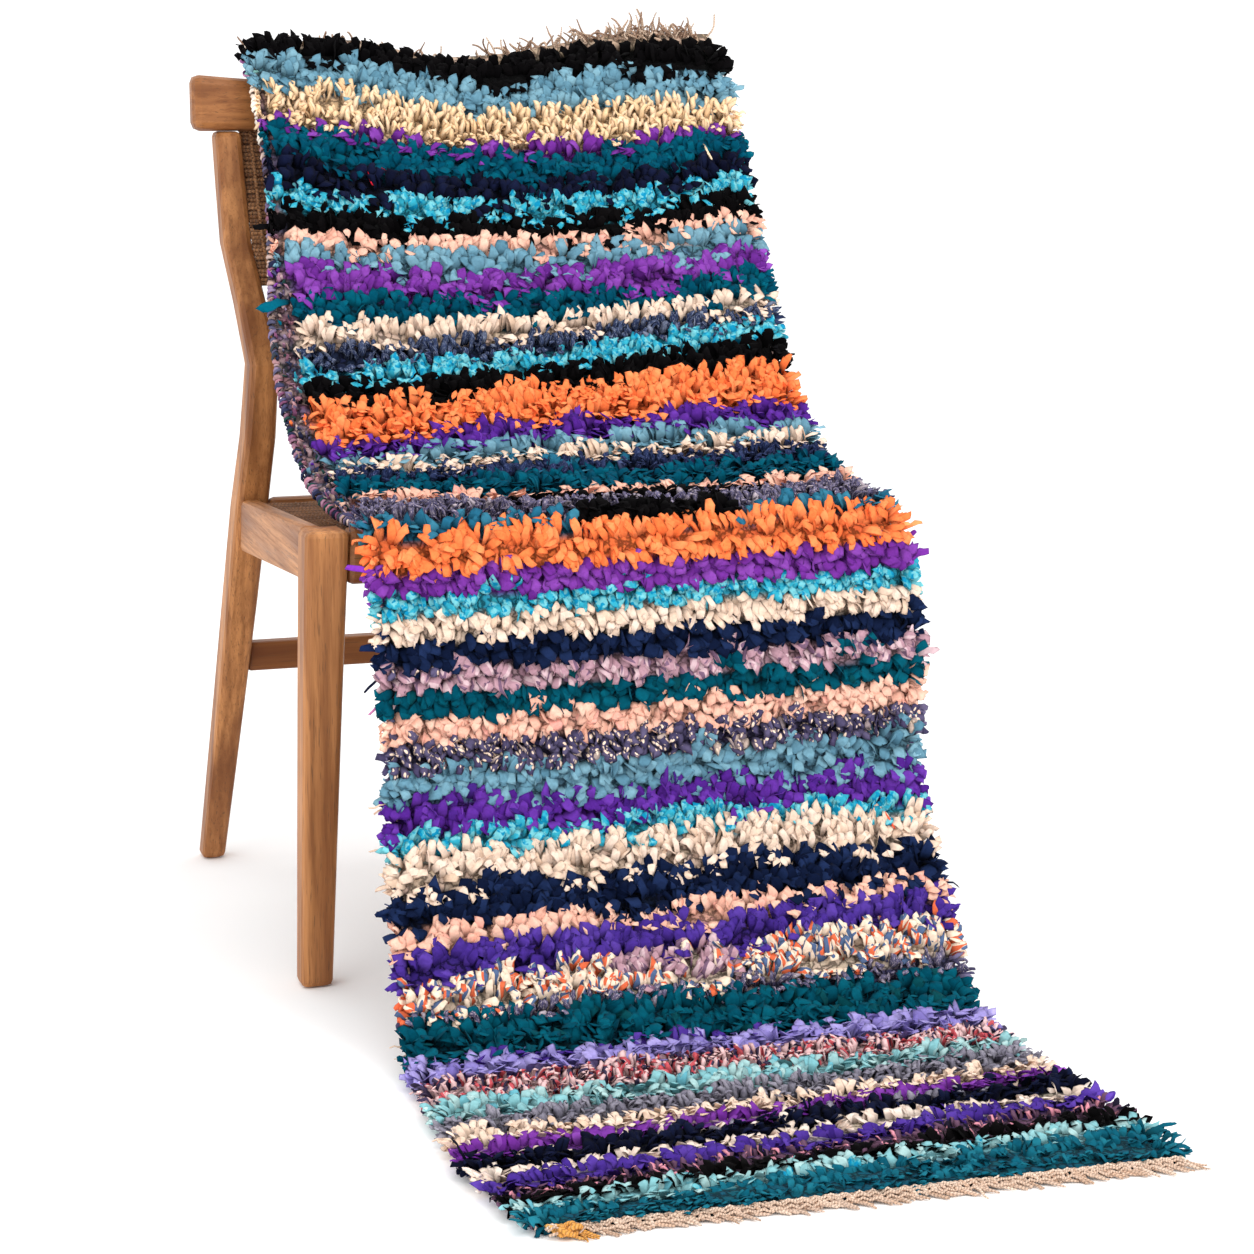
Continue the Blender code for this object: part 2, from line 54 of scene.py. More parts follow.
# The rug's underside from its upper end to its floor end: y and z, then its left and right edge,
# measured from the chair's centre plane and its front legs
RUG_PATH = (
    (0.496, 0.8930, -0.229, 0.296),
    (0.481, 0.8870, -0.229, 0.296),
    (0.468, 0.8760, -0.229, 0.296),
    (0.458, 0.8580, -0.229, 0.296),
    (0.446, 0.8330, -0.229, 0.297),
    (0.428, 0.8060, -0.228, 0.297),
    (0.402, 0.7750, -0.228, 0.296),
    (0.368, 0.7200, -0.232, 0.294),
    (0.330, 0.6600, -0.239, 0.294),
    (0.288, 0.6000, -0.247, 0.293),
    (0.240, 0.5450, -0.249, 0.291),
    (0.185, 0.5000, -0.248, 0.290),
    (0.130, 0.4700, -0.246, 0.291),
    (0.075, 0.4530, -0.241, 0.291),
    (0.022, 0.4450, -0.232, 0.291),
    (-0.014, 0.4449, -0.2265, 0.292),
    (-0.033, 0.4400, -0.2245, 0.295),
    (-0.047, 0.4200, -0.223, 0.300),
    (-0.057, 0.3850, -0.221, 0.306),
    (-0.074, 0.3100, -0.218, 0.307),
    (-0.090, 0.2500, -0.219, 0.301),
    (-0.108, 0.2000, -0.223, 0.292),
    (-0.138, 0.1500, -0.229, 0.289),
    (-0.175, 0.1000, -0.233, 0.288),
    (-0.215, 0.0530, -0.238, 0.287),
    (-0.255, 0.0170, -0.244, 0.281),
    (-0.300, 0.0000, -0.248, 0.271),
    (-0.400, 0.0000, -0.255, 0.268),
    (-0.512, 0.0000, -0.260, 0.275),
    (-0.574, 0.0000, -0.252, 0.284),
    (-0.648, 0.0000, -0.240, 0.284),
)
TOP_RAIL_HALF = 0.293
BACK_BOW = 0.030  # how far the ends of the chair's back stand forward of its middle
BACK_FADES = (0.10, 0.45)
DIP, DIP_MIDDLE, DIP_REACH, DIP_FADES = 0.020, 0.43, (0.24, 0.42), (0.02, 0.24)
BULGE, BULGE_ENDS = 0.010, 0.30
END_SKEW, END_SKEW_FROM = 0.024, 1.15
GROUND = 0.005  # thickness of the woven ground
GROUND_ROWS, GROUND_CELLS = 230, 30  # faces of its mesh down the rug and across it
FLAT_END = 0.018  # the flat-woven upper end, without pile, which curls up
# how far the flat end's edge stands up: places across the rug, then the height there
FLAT_END_PLACES = (0.00, 0.12, 0.25, 0.60, 0.85, 1.00)
FLAT_END_LIFTS = (0.001, 0.002, 0.009, 0.009, 0.017, 0.016)
BED = 0.0035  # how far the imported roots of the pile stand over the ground
RUG_WIDTH, RUG_LENGTH = 0.53, 1.618  # as woven
FLOOR_CLEAR = 0.0004  # nothing goes lower than this, and the studio's floor lies as far below

# ---------------------------------------------------------------- rags and stripes
# figure is how the rag is coloured, width and reach are a strip's size in mm, crowd is how densely
# it is knotted, loops the share of strips that are left uncut; a flat body has crisp cut edges
YARN_FACTS = "main second fleck width reach crowd loops figure body"
Yarn = namedtuple("Yarn", YARN_FACTS, defaults=("plain", "flat"))
YARNS = {
    "black": Yarn((5, 4, 5), (12, 10, 11), (15, 13, 15), 10.0, 23, 1.0, 0.06),
    "steel": Yarn((98, 142, 162), (124, 166, 182), (70, 114, 136), 10.0, 24, 1.08, 0.06),
    "warm_cream": Yarn(
        (240, 204, 160), (248, 218, 184), (222, 176, 130), 5.6, 25, 1.4, 0.25, "plain", "round",
    ),
    "pale_cream": Yarn((230, 202, 180), (240, 216, 198), (208, 174, 146), 6.8, 26, 1.35, 0.15),
    "purple": Yarn((108, 44, 142), (136, 70, 170), (76, 28, 110), 10.0, 24, 1.08, 0.06),
    "deep_purple": Yarn((78, 34, 132), (106, 56, 164), (48, 36, 108), 9.5, 24, 1.0, 0.08),
    "violet": Yarn((68, 43, 134), (90, 62, 158), (50, 31, 110), 10.0, 24, 1.0, 0.06),
    "teal": Yarn((0, 68, 90), (2, 90, 110), (0, 52, 74), 8.5, 23, 1.15, 0.12),
    "dark_teal": Yarn((0, 68, 86), (4, 88, 106), (12, 66, 62), 10.5, 24, 1.0, 0.06),
    "blue_teal": Yarn((34, 98, 126), (58, 124, 148), (14, 70, 98), 9.0, 23, 1.0, 0.12),
    "navy": Yarn((12, 15, 34), (20, 26, 54), (28, 36, 68), 11.0, 24, 1.0, 0.25, "plain", "round"),
    "blue_navy": Yarn((12, 22, 48), (30, 46, 84), (8, 14, 36), 10.5, 24, 1.0, 0.08),
    "navy_slate": Yarn((24, 32, 64), (40, 52, 88), (92, 104, 146), 7.5, 22, 1.2, 0.20, "melange", "round"),
    "turquoise": Yarn((50, 162, 186), (112, 190, 200), (16, 136, 176), 8.0, 23, 1.15, 0.15, "print"),
    "salmon": Yarn((238, 178, 156), (246, 198, 176), (230, 150, 144), 9.0, 23, 1.1, 0.12),
    "orange": Yarn((252, 126, 70), (255, 148, 92), (234, 102, 50), 7.2, 27, 1.25, 0.12),
    "denim": Yarn((34, 44, 74), (56, 68, 100), (150, 158, 180), 5.8, 22, 1.35, 0.30, "melange", "round"),
    "melange": Yarn((72, 68, 98), (108, 102, 132), (220, 204, 208), 5.4, 21, 1.4, 0.35, "melange", "round"),
    "slate_dots": Yarn((70, 64, 94), (98, 90, 120), (248, 220, 196), 8.0, 23, 1.2, 0.15, "dots", "round"),
    "mauve": Yarn((182, 142, 154), (208, 178, 184), (122, 94, 118), 9.5, 24, 1.0, 0.12, "streaks"),
    "many_coloured": Yarn((244, 220, 196), (222, 106, 70), (84, 104, 140), 8.0, 25, 1.15, 0.06, "streaks"),
    "lavender": Yarn((140, 128, 194), (166, 156, 212), (108, 94, 172), 11.0, 23, 1.0, 0.06),
    "speckled": Yarn((228, 190, 190), (62, 54, 78), (196, 84, 92), 6.5, 20, 1.3, 0.30, "streaks", "round"),
    "mint": Yarn((128, 184, 190), (176, 206, 204), (70, 164, 188), 9.0, 23, 1.05, 0.12),
    "grey": Yarn((128, 124, 138), (158, 154, 166), (84, 80, 98), 8.0, 22, 1.1, 0.20, "melange", "round"),
    "beige": Yarn((226, 204, 188), (240, 224, 212), (196, 170, 152), 9.0, 22, 1.0, 0.15),
    "dark_speckled": Yarn(
        (104, 74, 96), (30, 26, 42), (222, 146, 162), 6.0, 20, 1.3, 0.30, "streaks", "round",
    ),
    "petrol": Yarn((12, 88, 108), (30, 112, 130), (6, 62, 80), 8.5, 23, 1.15, 0.12),
}

# where each stripe starts, in mm down the rug, at its left edge, its middle and its right edge
STRIPES = (
    ("black", 18, 18, 18),
    ("steel", 34, 50, 48),
    ("warm_cream", 63, 87, 86),
    ("purple", 102, 142, 124),
    ("teal", 118, 156, 133),
    ("navy", 154, 194, 158),
    ("turquoise", 190, 216, 185),
    ("black", 216, 238, 208),
    ("salmon", 250, 264, 236),
    ("steel", 267, 279, 250),
    ("purple", 288, 305, 275),
    ("teal", 322, 333, 302),
    ("pale_cream", 356, 366, 332),
    ("denim", 381, 379, 347),
    ("turquoise", 415, 404, 365),
    ("black", 437, 429, 391),
    ("orange", 468, 452, 428),
    ("deep_purple", 530, 501, 485),
    ("steel", 552, 531, 519),
    ("pale_cream", 572, 552, 545),
    ("navy_slate", 584, 573, 556),
    ("teal", 602, 603, 583),
    ("salmon", 636, 655, 626),
    ("melange", 654, 684, 650),
    ("blue_teal", 722, 740, 726),
    ("orange", 748, 748, 743),
    ("purple", 774, 775, 769),
    ("turquoise", 797, 798, 795),
    ("pale_cream", 817, 816, 814),
    ("blue_navy", 838, 838, 834),
    ("mauve", 864, 864, 864),
    ("dark_teal", 887, 886, 881),
    ("salmon", 909, 909, 903),
    ("slate_dots", 932, 936, 931),
    ("steel", 964, 960, 959),
    ("deep_purple", 988, 994, 989),
    ("turquoise", 1027, 1023, 1032),
    ("pale_cream", 1047, 1044, 1043),
    ("blue_navy", 1078, 1077, 1078),
    ("salmon", 1114, 1117, 1111),
    ("violet", 1140, 1136, 1128),
    ("many_coloured", 1169, 1162, 1158),
    ("melange", 1200, 1200, 1189),
    ("dark_teal", 1212, 1211, 1221),
    ("lavender", 1258, 1268, 1270),
    ("speckled", 1306, 1306, 1316),
    ("mint", 1358, 1351, 1345),
    ("grey", 1393, 1384, 1366),
    ("pale_cream", 1425, 1420, 1402),
    ("purple", 1460, 1445, 1422),
    ("navy", 1482, 1460, 1437),
    ("beige", 1510, 1488, 1466),
    ("violet", 1532, 1510, 1485),
    ("dark_speckled", 1549, 1528, 1503),
    ("black", 1567, 1549, 1524),
    ("mint", 1580, 1563, 1546),
    ("petrol", 1597, 1585, 1568),
    ("end", 1618, 1618, 1618),
)

# rags of another kind inside a stripe: the stripe's number, the rag, the part of the width and of the
# stripe's own height where it lies, and how much of the place it takes
Insert = namedtuple("Insert", "stripe yarn left right top bottom share")
INSERTS = (
    Insert(23, "black", 0.27, 0.80, 0.00, 0.34, 1.0),
    Insert(23, "black", 0.38, 0.70, 0.70, 1.00, 1.0),
    Insert(24, "black", 0.38, 0.70, 0.00, 0.60, 1.0),
    Insert(41, "mauve", 0.36, 0.60, 0.00, 0.75, 0.9),
    Insert(44, "violet", 0.05, 0.62, 0.00, 0.22, 0.8),
    Insert(50, "beige", 0.00, 1.00, 0.00, 0.30, 0.35),
    Insert(50, "grey", 0.30, 0.90, 0.00, 0.30, 0.35),
    Insert(30, "slate_dots", 0.00, 0.22, 0.00, 0.50, 0.4),
    Insert(20, "blue_teal", 0.30, 0.60, 0.00, 0.50, 0.3),
    Insert(55, "turquoise", 0.20, 0.75, 0.50, 1.00, 0.2),
)

ROW_PITCH = 0.0105  # between two rows of knots
KNOT_PITCH = 0.0083  # between two knots of a row
SECOND_END = 0.96  # share of the knots whose second end shows too
# share of the width, at the left edge, without pile: by the rail, and further down to the seat
BARE_BY_RAIL, BARE_BY_SEAT, BARE_GROWS = 0.017, 0.044, (0.24, 0.34)
LAP_REACH = 0.009  # rows this close to a stripe's edge lean one way on both sides of it
UPRIGHT = (0.48, 0.72)  # how steep the rug stands where its pile begins to hang, and where all of it hangs
HANG_BIAS = 0.75  # how surely the pile hangs down there
SLOPE_BIAS = 0.60  # how surely it stands up where the rug slopes
HANG_SHIFT = 0.008  # how much higher the knots sit there than the stripe that one sees
EDGE_RAG_PITCH = 0.0042  # between two pairs of rags along an edge
SELVEDGE_PITCH = 0.0052  # between two turns of the weft round the outermost warp
SEED = 20
TOP_LIMIT = 0.948  # the highest thread of the upper end


def screen(red, green, blue):
    """A colour as seen on a screen, 0 to 255, made linear."""
    shares = [value / 255 for value in (red, green, blue)]
    line = [s / 12.92 if s <= 0.04045 else ((s + 0.055) / 1.055) ** 2.4 for s in shares]
    return (*line, 1.0)


# ---------------------------------------------------------------- the rug's surface
def blend(value, start, end):
    """0 before start, 1 after end and smooth between."""
    t = np.clip((value - start) / (end - start), 0.0, 1.0)
    return t * t * (3 - 2 * t)


def gentle_slopes(knots, values):
    """Slopes of a curve through the values that never overshoots them."""
    widths = np.diff(knots)
    rises = np.diff(values) / widths
    slopes = np.zeros(len(values))
    slopes[0], slopes[-1] = rises[0], rises[-1]
    for i in range(1, len(values) - 1):
        before, after = rises[i - 1], rises[i]
        if before * after > 0:
            w1 = 2 * widths[i] + widths[i - 1]
            w2 = widths[i] + 2 * widths[i - 1]
            slopes[i] = (w1 + w2) / (w1 / before + w2 / after)
    return slopes


def unit(vectors):
    return vectors / np.linalg.norm(vectors, axis=-1, keepdims=True)


class RugLie:
    """How the rug lies: points by length down the rug, share of its width and height over its back."""

    def __init__(self):
        rows = np.array(RUG_PATH)
        steps = np.hypot(np.diff(rows[:, 0]), np.diff(rows[:, 1]))
        self.knots = np.concatenate([[0.0], np.cumsum(steps)])
        self.length = float(self.knots[-1])
        self.columns = [(column, gentle_slopes(self.knots, column)) for column in rows.T]

    def read(self, column, length):
        values, slopes = self.columns[column]
        i = np.clip(np.searchsorted(self.knots, length) - 1, 0, len(self.knots) - 2)
        width = self.knots[i + 1] - self.knots[i]
        t = (length - self.knots[i]) / width
        return (
            values[i] * (1 + 2 * t) * (1 - t) ** 2
            + slopes[i] * width * t * (1 - t) ** 2
            + values[i + 1] * t * t * (3 - 2 * t)
            + slopes[i + 1] * width * t * t * (t - 1)
        )

    def back(self, length, share):
        length, share = np.broadcast_arrays(np.asarray(length, float), np.asarray(share, float))
        inside = np.clip(length, 0.0, self.length)
        y, z, left, right = (self.read(column, inside) for column in range(4))
        x = left + share * (right - left)
        bow = -BACK_BOW / TOP_RAIL_HALF**2
        y = y + bow * (x**2 - left**2) * (1 - blend(inside, *BACK_FADES))
        reach = np.where(share > DIP_MIDDLE, DIP_REACH[1], DIP_REACH[0])
        sag = np.cos(np.pi / 2 * np.minimum(np.abs(share - DIP_MIDDLE) / reach, 1.0)) ** 2
        z = z - DIP * sag * (1 - blend(inside, *DIP_FADES))
        y = y - BULGE * sag * np.sin(np.pi * np.minimum(inside / BULGE_ENDS, 1.0)) ** 2
        y = y - END_SKEW * share * blend(inside, END_SKEW_FROM, self.length)
        lift = np.interp(share, FLAT_END_PLACES, FLAT_END_LIFTS)
        z = z + lift * (1 - blend(inside, 0.0, FLAT_END))
        return np.stack([x, y, z], -1) + PLACE

    def ways(self, length, share):
        """Unit vectors down the rug, across it to the right and out of its pile."""
        length = np.clip(length, 0.0, self.length)
        ahead = self.back(np.minimum(length + 0.004, self.length), share)
        behind = self.back(np.maximum(length - 0.004, 0.0), share)
        down = unit(ahead - behind)
        right = self.back(length, np.asarray(share) + 0.01) - self.back(length, np.asarray(share) - 0.01)
        right = unit(right - down * np.sum(right * down, -1, keepdims=True))
        return down, right, np.cross(right, down) * -1.0

    def at(self, length, share, height=0.0):
        out = self.ways(length, share)[2]
        return self.back(length, share) + out * np.asarray(height)[..., None]


RUG = RugLie()


def stripe_start(number, share):
    """Length down the rug where a stripe starts, at a share of the width."""
    left, middle, right = (mm / 1000 for mm in STRIPES[number][1:])
    curve = (
        left * (1 - share) * (1 - 2 * share)
        + middle * 4 * share * (1 - share)
        + right * share * (2 * share - 1)
    )
    wave = 0.0012 * np.sin(share * 23.0 + number * 1.7) + 0.0009 * np.sin(share * 51.0 + number * 2.9)
    at_an_end = number in (0, len(STRIPES) - 1)
    return curve + (0.0 if at_an_end else wave)


def stripe_at(length, share):
    """The number of the stripe at each place."""
    numbers = np.zeros(np.shape(length), int)
    for number in range(1, len(STRIPES) - 1):
        numbers[length > stripe_start(number, share)] = number
    return numbers


# ---------------------------------------------------------------- joined copies of small shapes
class Pattern:
    """A small closed shape whose copies are bent and joined: its faces, and for each vertex the joint
    it belongs to and where it lies across and over the shape, from -1 to 1."""

    def __init__(self, joints, sides):
        shape = bmesh.new()
        bmesh.ops.create_cone(
            shape, cap_ends=True, segments=sides, radius1=1.0, radius2=1.0, depth=1.0
        )
        upright = [edge for edge in shape.edges if abs(edge.verts[0].co.z - edge.verts[1].co.z) > 0.5]
        bmesh.ops.subdivide_edges(shape, edges=upright, cuts=joints - 1)
        bmesh.ops.recalc_face_normals(shape, faces=shape.faces)
        shape.verts.index_update()
        spots = np.array([vert.co for vert in shape.verts])
        self.joints = joints
        self.joint = np.rint((spots[:, 2] + 0.5) * joints).astype(int)
        self.across, self.over = spots[:, 0], spots[:, 1]
        self.faces = [[vert.index for vert in face.verts] for face in shape.faces]
        shape.free()


class Bundle:
    """Copies of patterns that become one joined mesh."""

    def __init__(self):
        self.spots, self.corners, self.sizes = [], [], []
        self.tints, self.reaches, self.sides = [], [], []
        self.maps, self.dyes, self.rims = [], [], []
        self.count = 0

    def add(
        self, pattern, middles, across, over, half_width, half_thick,
        fold=0.0, tint=0.5, drift=0.0, dye=None, crisp=False, cut=0.0,
    ):
        """Sweeps the pattern along middles (copy, joint, xyz); the sizes are given for each joint."""
        joint = pattern.joint
        copies = middles.shape[0]
        wide = pattern.across * half_width[:, joint]
        fold = np.broadcast_to(np.asarray(fold, float), (copies,))[:, None]
        tall = pattern.over * half_thick[:, joint] - fold * np.abs(wide)
        spots = middles[:, joint] + across[:, joint] * wide[..., None] + over[:, joint] * tall[..., None]
        if np.any(cut):  # the last joint is cut on the slant
            last = joint == pattern.joints
            slant = unit(middles[:, -1] - middles[:, -2])[:, None] * (wide * cut[:, None])[..., None]
            spots[:, last] += slant[:, last]
        spots[..., 2] = np.maximum(spots[..., 2], FLOOR_CLEAR)
        steps = np.linalg.norm(np.diff(middles, axis=1), axis=-1)
        run = np.concatenate([np.zeros((copies, 1)), np.cumsum(steps, axis=1)], axis=1)
        drift = np.broadcast_to(np.asarray(drift, float), (copies,))[:, None]
        mapped = np.stack([wide + drift, run[:, joint] + drift * 1.7], -1)
        self.tints.append(np.broadcast_to(np.asarray(tint, float).reshape(-1, 1), wide.shape).ravel())
        # reach (0 at the root, 1 at the tip) and side (0 on the middle line, 1 at the long edges) steer the
        # painted shade of the rag cloth
        self.reaches.append(np.broadcast_to(joint / pattern.joints, wide.shape).ravel())
        self.sides.append(np.tile(np.abs(pattern.across), copies))
        self.maps.append(mapped.reshape(-1, 2))
        self.rims.append(np.tile((np.abs(pattern.across) > 0.9) & crisp, copies))
        if dye is not None:
            self.dyes.append(np.repeat(np.asarray(dye, float), len(joint), axis=0))
        self.spots.append(spots.reshape(-1, 3))
        flat = np.concatenate(pattern.faces)
        starts = self.count + np.arange(copies) * len(joint)
        self.corners.append((flat[None, :] + starts[:, None]).ravel())
        self.sizes.append(np.tile([len(face) for face in pattern.faces], copies))
        self.count += copies * len(joint)

    def piece(self, name, material, slot, *nodes):
        spots = np.concatenate(self.spots)
        corners = np.concatenate(self.corners)
        sizes = np.concatenate(self.sizes)
        mesh = bpy.data.meshes.new(name)
        mesh.vertices.add(len(spots))
        mesh.vertices.foreach_set("co", spots.astype(np.float32).ravel())
        mesh.loops.add(len(corners))
        mesh.loops.foreach_set("vertex_index", corners.astype(np.int32))
        mesh.polygons.add(len(sizes))
        starts = np.concatenate([[0], np.cumsum(sizes)[:-1]]).astype(np.int32)
        mesh.polygons.foreach_set("loop_start", starts)
        mesh.update(calc_edges=True)
        for word, values in (("tint", self.tints), ("reach", self.reaches), ("side", self.sides)):
            layer = mesh.attributes.new(word, "FLOAT", "POINT")
            layer.data.foreach_set("value", np.concatenate(values).astype(np.float32))
        if self.dyes:
            layer = mesh.attributes.new("dye", "FLOAT_COLOR", "POINT")
            layer.data.foreach_set("color", np.concatenate(self.dyes).astype(np.float32).ravel())
        strip_map = mesh.uv_layers.new(name="strip")
        mapped = np.concatenate(self.maps)[corners]
        strip_map.data.foreach_set("uv", mapped.astype(np.float32).ravel())
        mesh.shade_smooth()
        rims = np.concatenate(self.rims)
        if rims.any():  # the two long edges of a cut strip stay crisp
            ends = np.empty(2 * len(mesh.edges), np.int32)
            mesh.edges.foreach_get("vertices", ends)
            crisp = mesh.attributes.new("sharp_edge", "BOOLEAN", "EDGE")
            crisp.data.foreach_set("value", rims[ends].reshape(-1, 2).all(axis=1))
        return show(name, mesh, material, slot, *nodes)


def show(name, mesh, material, slot, *nodes):
    """Puts a finished mesh into the scene as one piece of the model."""
    piece = bpy.data.objects.new(name, mesh)
    bpy.context.scene.collection.objects.link(piece)
    mesh.materials.clear()
    mesh.materials.append(material)
    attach(piece, "root")
    if nodes:
        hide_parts(*nodes)
    return piece


# ---------------------------------------------------------------- materials
def add_node(tree, kind, vector=None, numbers=None, **settings):
    """A node with its settings, the values of some inputs, and a link into its Vector input."""
    node = tree.nodes.new(kind)
    for name, value in settings.items():
        setattr(node, name, value)
    for name, value in (numbers or {}).items():
        node.inputs[name].default_value = value
    if vector is not None:
        tree.links.new(vector, node.inputs["Vector"])
    return node


def attribute(tree, word, output="Fac"):
    return add_node(tree, "ShaderNodeAttribute", attribute_name=word).outputs[output]


def uv_place(tree, word="strip"):
    return add_node(tree, "ShaderNodeUVMap", uv_map=word).outputs["UV"]


def stretched(tree, vector, scale):
    return add_node(tree, "ShaderNodeMapping", vector, {"Scale": scale}).outputs["Vector"]


def feed(tree, socket, value):
    """Links the socket to another one, or sets it to a value."""
    if isinstance(value, bpy.types.NodeSocket):
        tree.links.new(value, socket)
    else:
        socket.default_value = value


def new_material(name, roughness, sheen=0.0, specular=0.5):
    material = bpy.data.materials.new(name)
    material.use_nodes = True
    shader = material.node_tree.nodes["Principled BSDF"]
    shader.inputs["Roughness"].default_value = roughness
    shader.inputs["Specular IOR Level"].default_value = specular
    if sheen:
        shader.inputs["Sheen Weight"].default_value = sheen
        shader.inputs["Sheen Roughness"].default_value = 0.5
    return material, shader


def mix(tree, factor, first, second, kind="MIX"):
    """A colour Mix node. Each of its three inputs is a socket or a value."""
    node = add_node(tree, "ShaderNodeMix", data_type="RGBA", blend_type=kind)
    for number, value in ((0, factor), (6, first), (7, second)):
        feed(tree, node.inputs[number], value)
    return node.outputs[2]


def sums(tree, operation, *values):
    node = add_node(tree, "ShaderNodeMath", operation=operation)
    for socket, value in zip(node.inputs, values):
        feed(tree, socket, value)
    return node.outputs[0]


def step_up(tree, value, low, high, out_low=0.0, out_high=1.0):
    """Maps value from low..high to out_low..out_high, smoothly and held at both ends."""
    ends = {"From Min": low, "From Max": high, "To Min": out_low, "To Max": out_high}
    node = add_node(tree, "ShaderNodeMapRange", None, ends, interpolation_type="SMOOTHSTEP")
    tree.links.new(value, node.inputs["Value"])
    return node.outputs["Result"]


def new_group(name, inputs, outputs):
    group = bpy.data.node_groups.new(name, "ShaderNodeTree")
    for word, kind, value in inputs:
        socket = group.interface.new_socket(name=word, in_out="INPUT", socket_type=kind)
        if value is not None:
            socket.default_value = value
    for word, kind in outputs:
        group.interface.new_socket(name=word, in_out="OUTPUT", socket_type=kind)
    return group, add_node(group, "NodeGroupInput"), add_node(group, "NodeGroupOutput")


def noise(tree, vector, scale, detail=2.0, roughness=0.5, stretch=None):
    if stretch is not None:
        vector = stretched(tree, vector, stretch)
    numbers = {"Scale": scale, "Detail": detail, "Roughness": roughness}
    return add_node(tree, "ShaderNodeTexNoise", vector, numbers).outputs["Fac"]


def rag_cloth_group():
    """Colour and surface of a cut rag strip: each strip has its own tint, and a print, a melange or
    dots follow the strip. Painted shade darkens each strip towards its root and along its long edges."""
    colours = [(word, "NodeSocketColor", None) for word in ("Main", "Second", "Fleck")]
    shares = [(word, "NodeSocketFloat", 0.0) for word in ("Print", "Streaks", "Melange", "Dots")]
    group, given, result = new_group(
        "rag cloth", colours + shares, [("Colour", "NodeSocketColor"), ("Height", "NodeSocketFloat")]
    )
    given = given.outputs
    uv = uv_place(group)
    tint, reach, side = (attribute(group, word) for word in ("tint", "reach", "side"))
    main, second, fleck = (given[word] for word in ("Main", "Second", "Fleck"))

    def drawn_out(stretch, low, high, detail=0.0, roughness=0.5):
        """Marks of noise that are drawn out along the strip."""
        return step_up(group, noise(group, uv, 1.0, detail, roughness, stretch), low, high)

    plain = mix(group, step_up(group, tint, 0.25, 1.0, 0.0, 0.85), main, second)
    plain = mix(group, step_up(group, tint, 0.0, 0.12, 0.55, 0.0), plain, fleck)
    patch = step_up(group, noise(group, uv, 90.0, 3.0), 0.47, 0.53)
    spots = step_up(group, noise(group, uv, 150.0, 1.0), 0.55, 0.60)
    printed = mix(group, spots, mix(group, patch, main, second), fleck)
    plain = mix(group, given["Print"], plain, printed)
    wide = drawn_out((135.0, 40.0, 1.0), 0.570, 0.585)
    narrow = drawn_out((170.0, 48.0, 7.0), 0.585, 0.600)
    streaked = mix(group, narrow, mix(group, wide, main, second), fleck)
    plain = mix(group, given["Streaks"], plain, streaked)
    threads = drawn_out((1500.0, 260.0, 1.0), 0.52, 0.66, 2.0, 0.6)
    melange = mix(group, sums(group, "MULTIPLY", threads, 0.75), plain, fleck)
    plain = mix(group, given["Melange"], plain, melange)
    places = stretched(group, uv, (260.0, 130.0, 1.0))
    cells = add_node(group, "ShaderNodeTexVoronoi", places, {"Scale": 1.0}, feature="F1")
    dot = step_up(group, cells.outputs["Distance"], 0.26, 0.36, 1.0, 0.0)
    plain = mix(group, sums(group, "MULTIPLY", dot, given["Dots"]), plain, fleck)

    worn = noise(group, uv, 260.0, 3.0)
    # painted shade: each strip is darkened towards its root and along its two long edges, where its
    # neighbours shade it; worn only varies the tone at random
    roots = step_up(group, reach, 0.0, 0.60, 0.50, 1.0)
    rims = step_up(group, side, 0.74, 1.0, 1.0, 0.62)
    shade = sums(group, "MULTIPLY", roots, rims)
    shade = sums(group, "MULTIPLY", step_up(group, worn, 0.3, 0.7, 0.90, 1.10), shade)
    grey = add_node(group, "ShaderNodeCombineColor")
    for socket in grey.inputs:
        group.links.new(shade, socket)
    group.links.new(mix(group, 1.0, plain, grey.outputs["Color"], "MULTIPLY"), result.inputs["Colour"])

    ribs = noise(group, uv, 1.0, 1.0, 0.5, (1300.0, 120.0, 1.0))
    creases = noise(group, uv, 130.0, 2.0)
    height = sums(group, "ADD", sums(group, "MULTIPLY", ribs, 0.25), creases)
    group.links.new(height, result.inputs["Height"])
    return group


def join_bump(material, shader, height, distance, strength):
    bump = add_node(material.node_tree, "ShaderNodeBump")
    bump.inputs["Distance"].default_value = distance
    bump.inputs["Strength"].default_value = strength
    material.node_tree.links.new(height, bump.inputs["Height"])
    material.node_tree.links.new(bump.outputs["Normal"], shader.inputs["Normal"])


def rag_material(name, yarn, cloth):
    material, shader = new_material(f"{name} rags", 0.9, sheen=0.01, specular=0.03)
    tree = material.node_tree
    dyed = add_node(tree, "ShaderNodeGroup", node_tree=cloth)
    for word, colour in (("Main", yarn.main), ("Second", yarn.second), ("Fleck", yarn.fleck)):
        dyed.inputs[word].default_value = screen(*colour)
    for word in ("Print", "Streaks", "Melange", "Dots"):
        dyed.inputs[word].default_value = float(yarn.figure == word.lower())
    tree.links.new(dyed.outputs["Colour"], shader.inputs["Base Color"])
    join_bump(material, shader, dyed.outputs["Height"], 0.0008, 0.7)
    return material


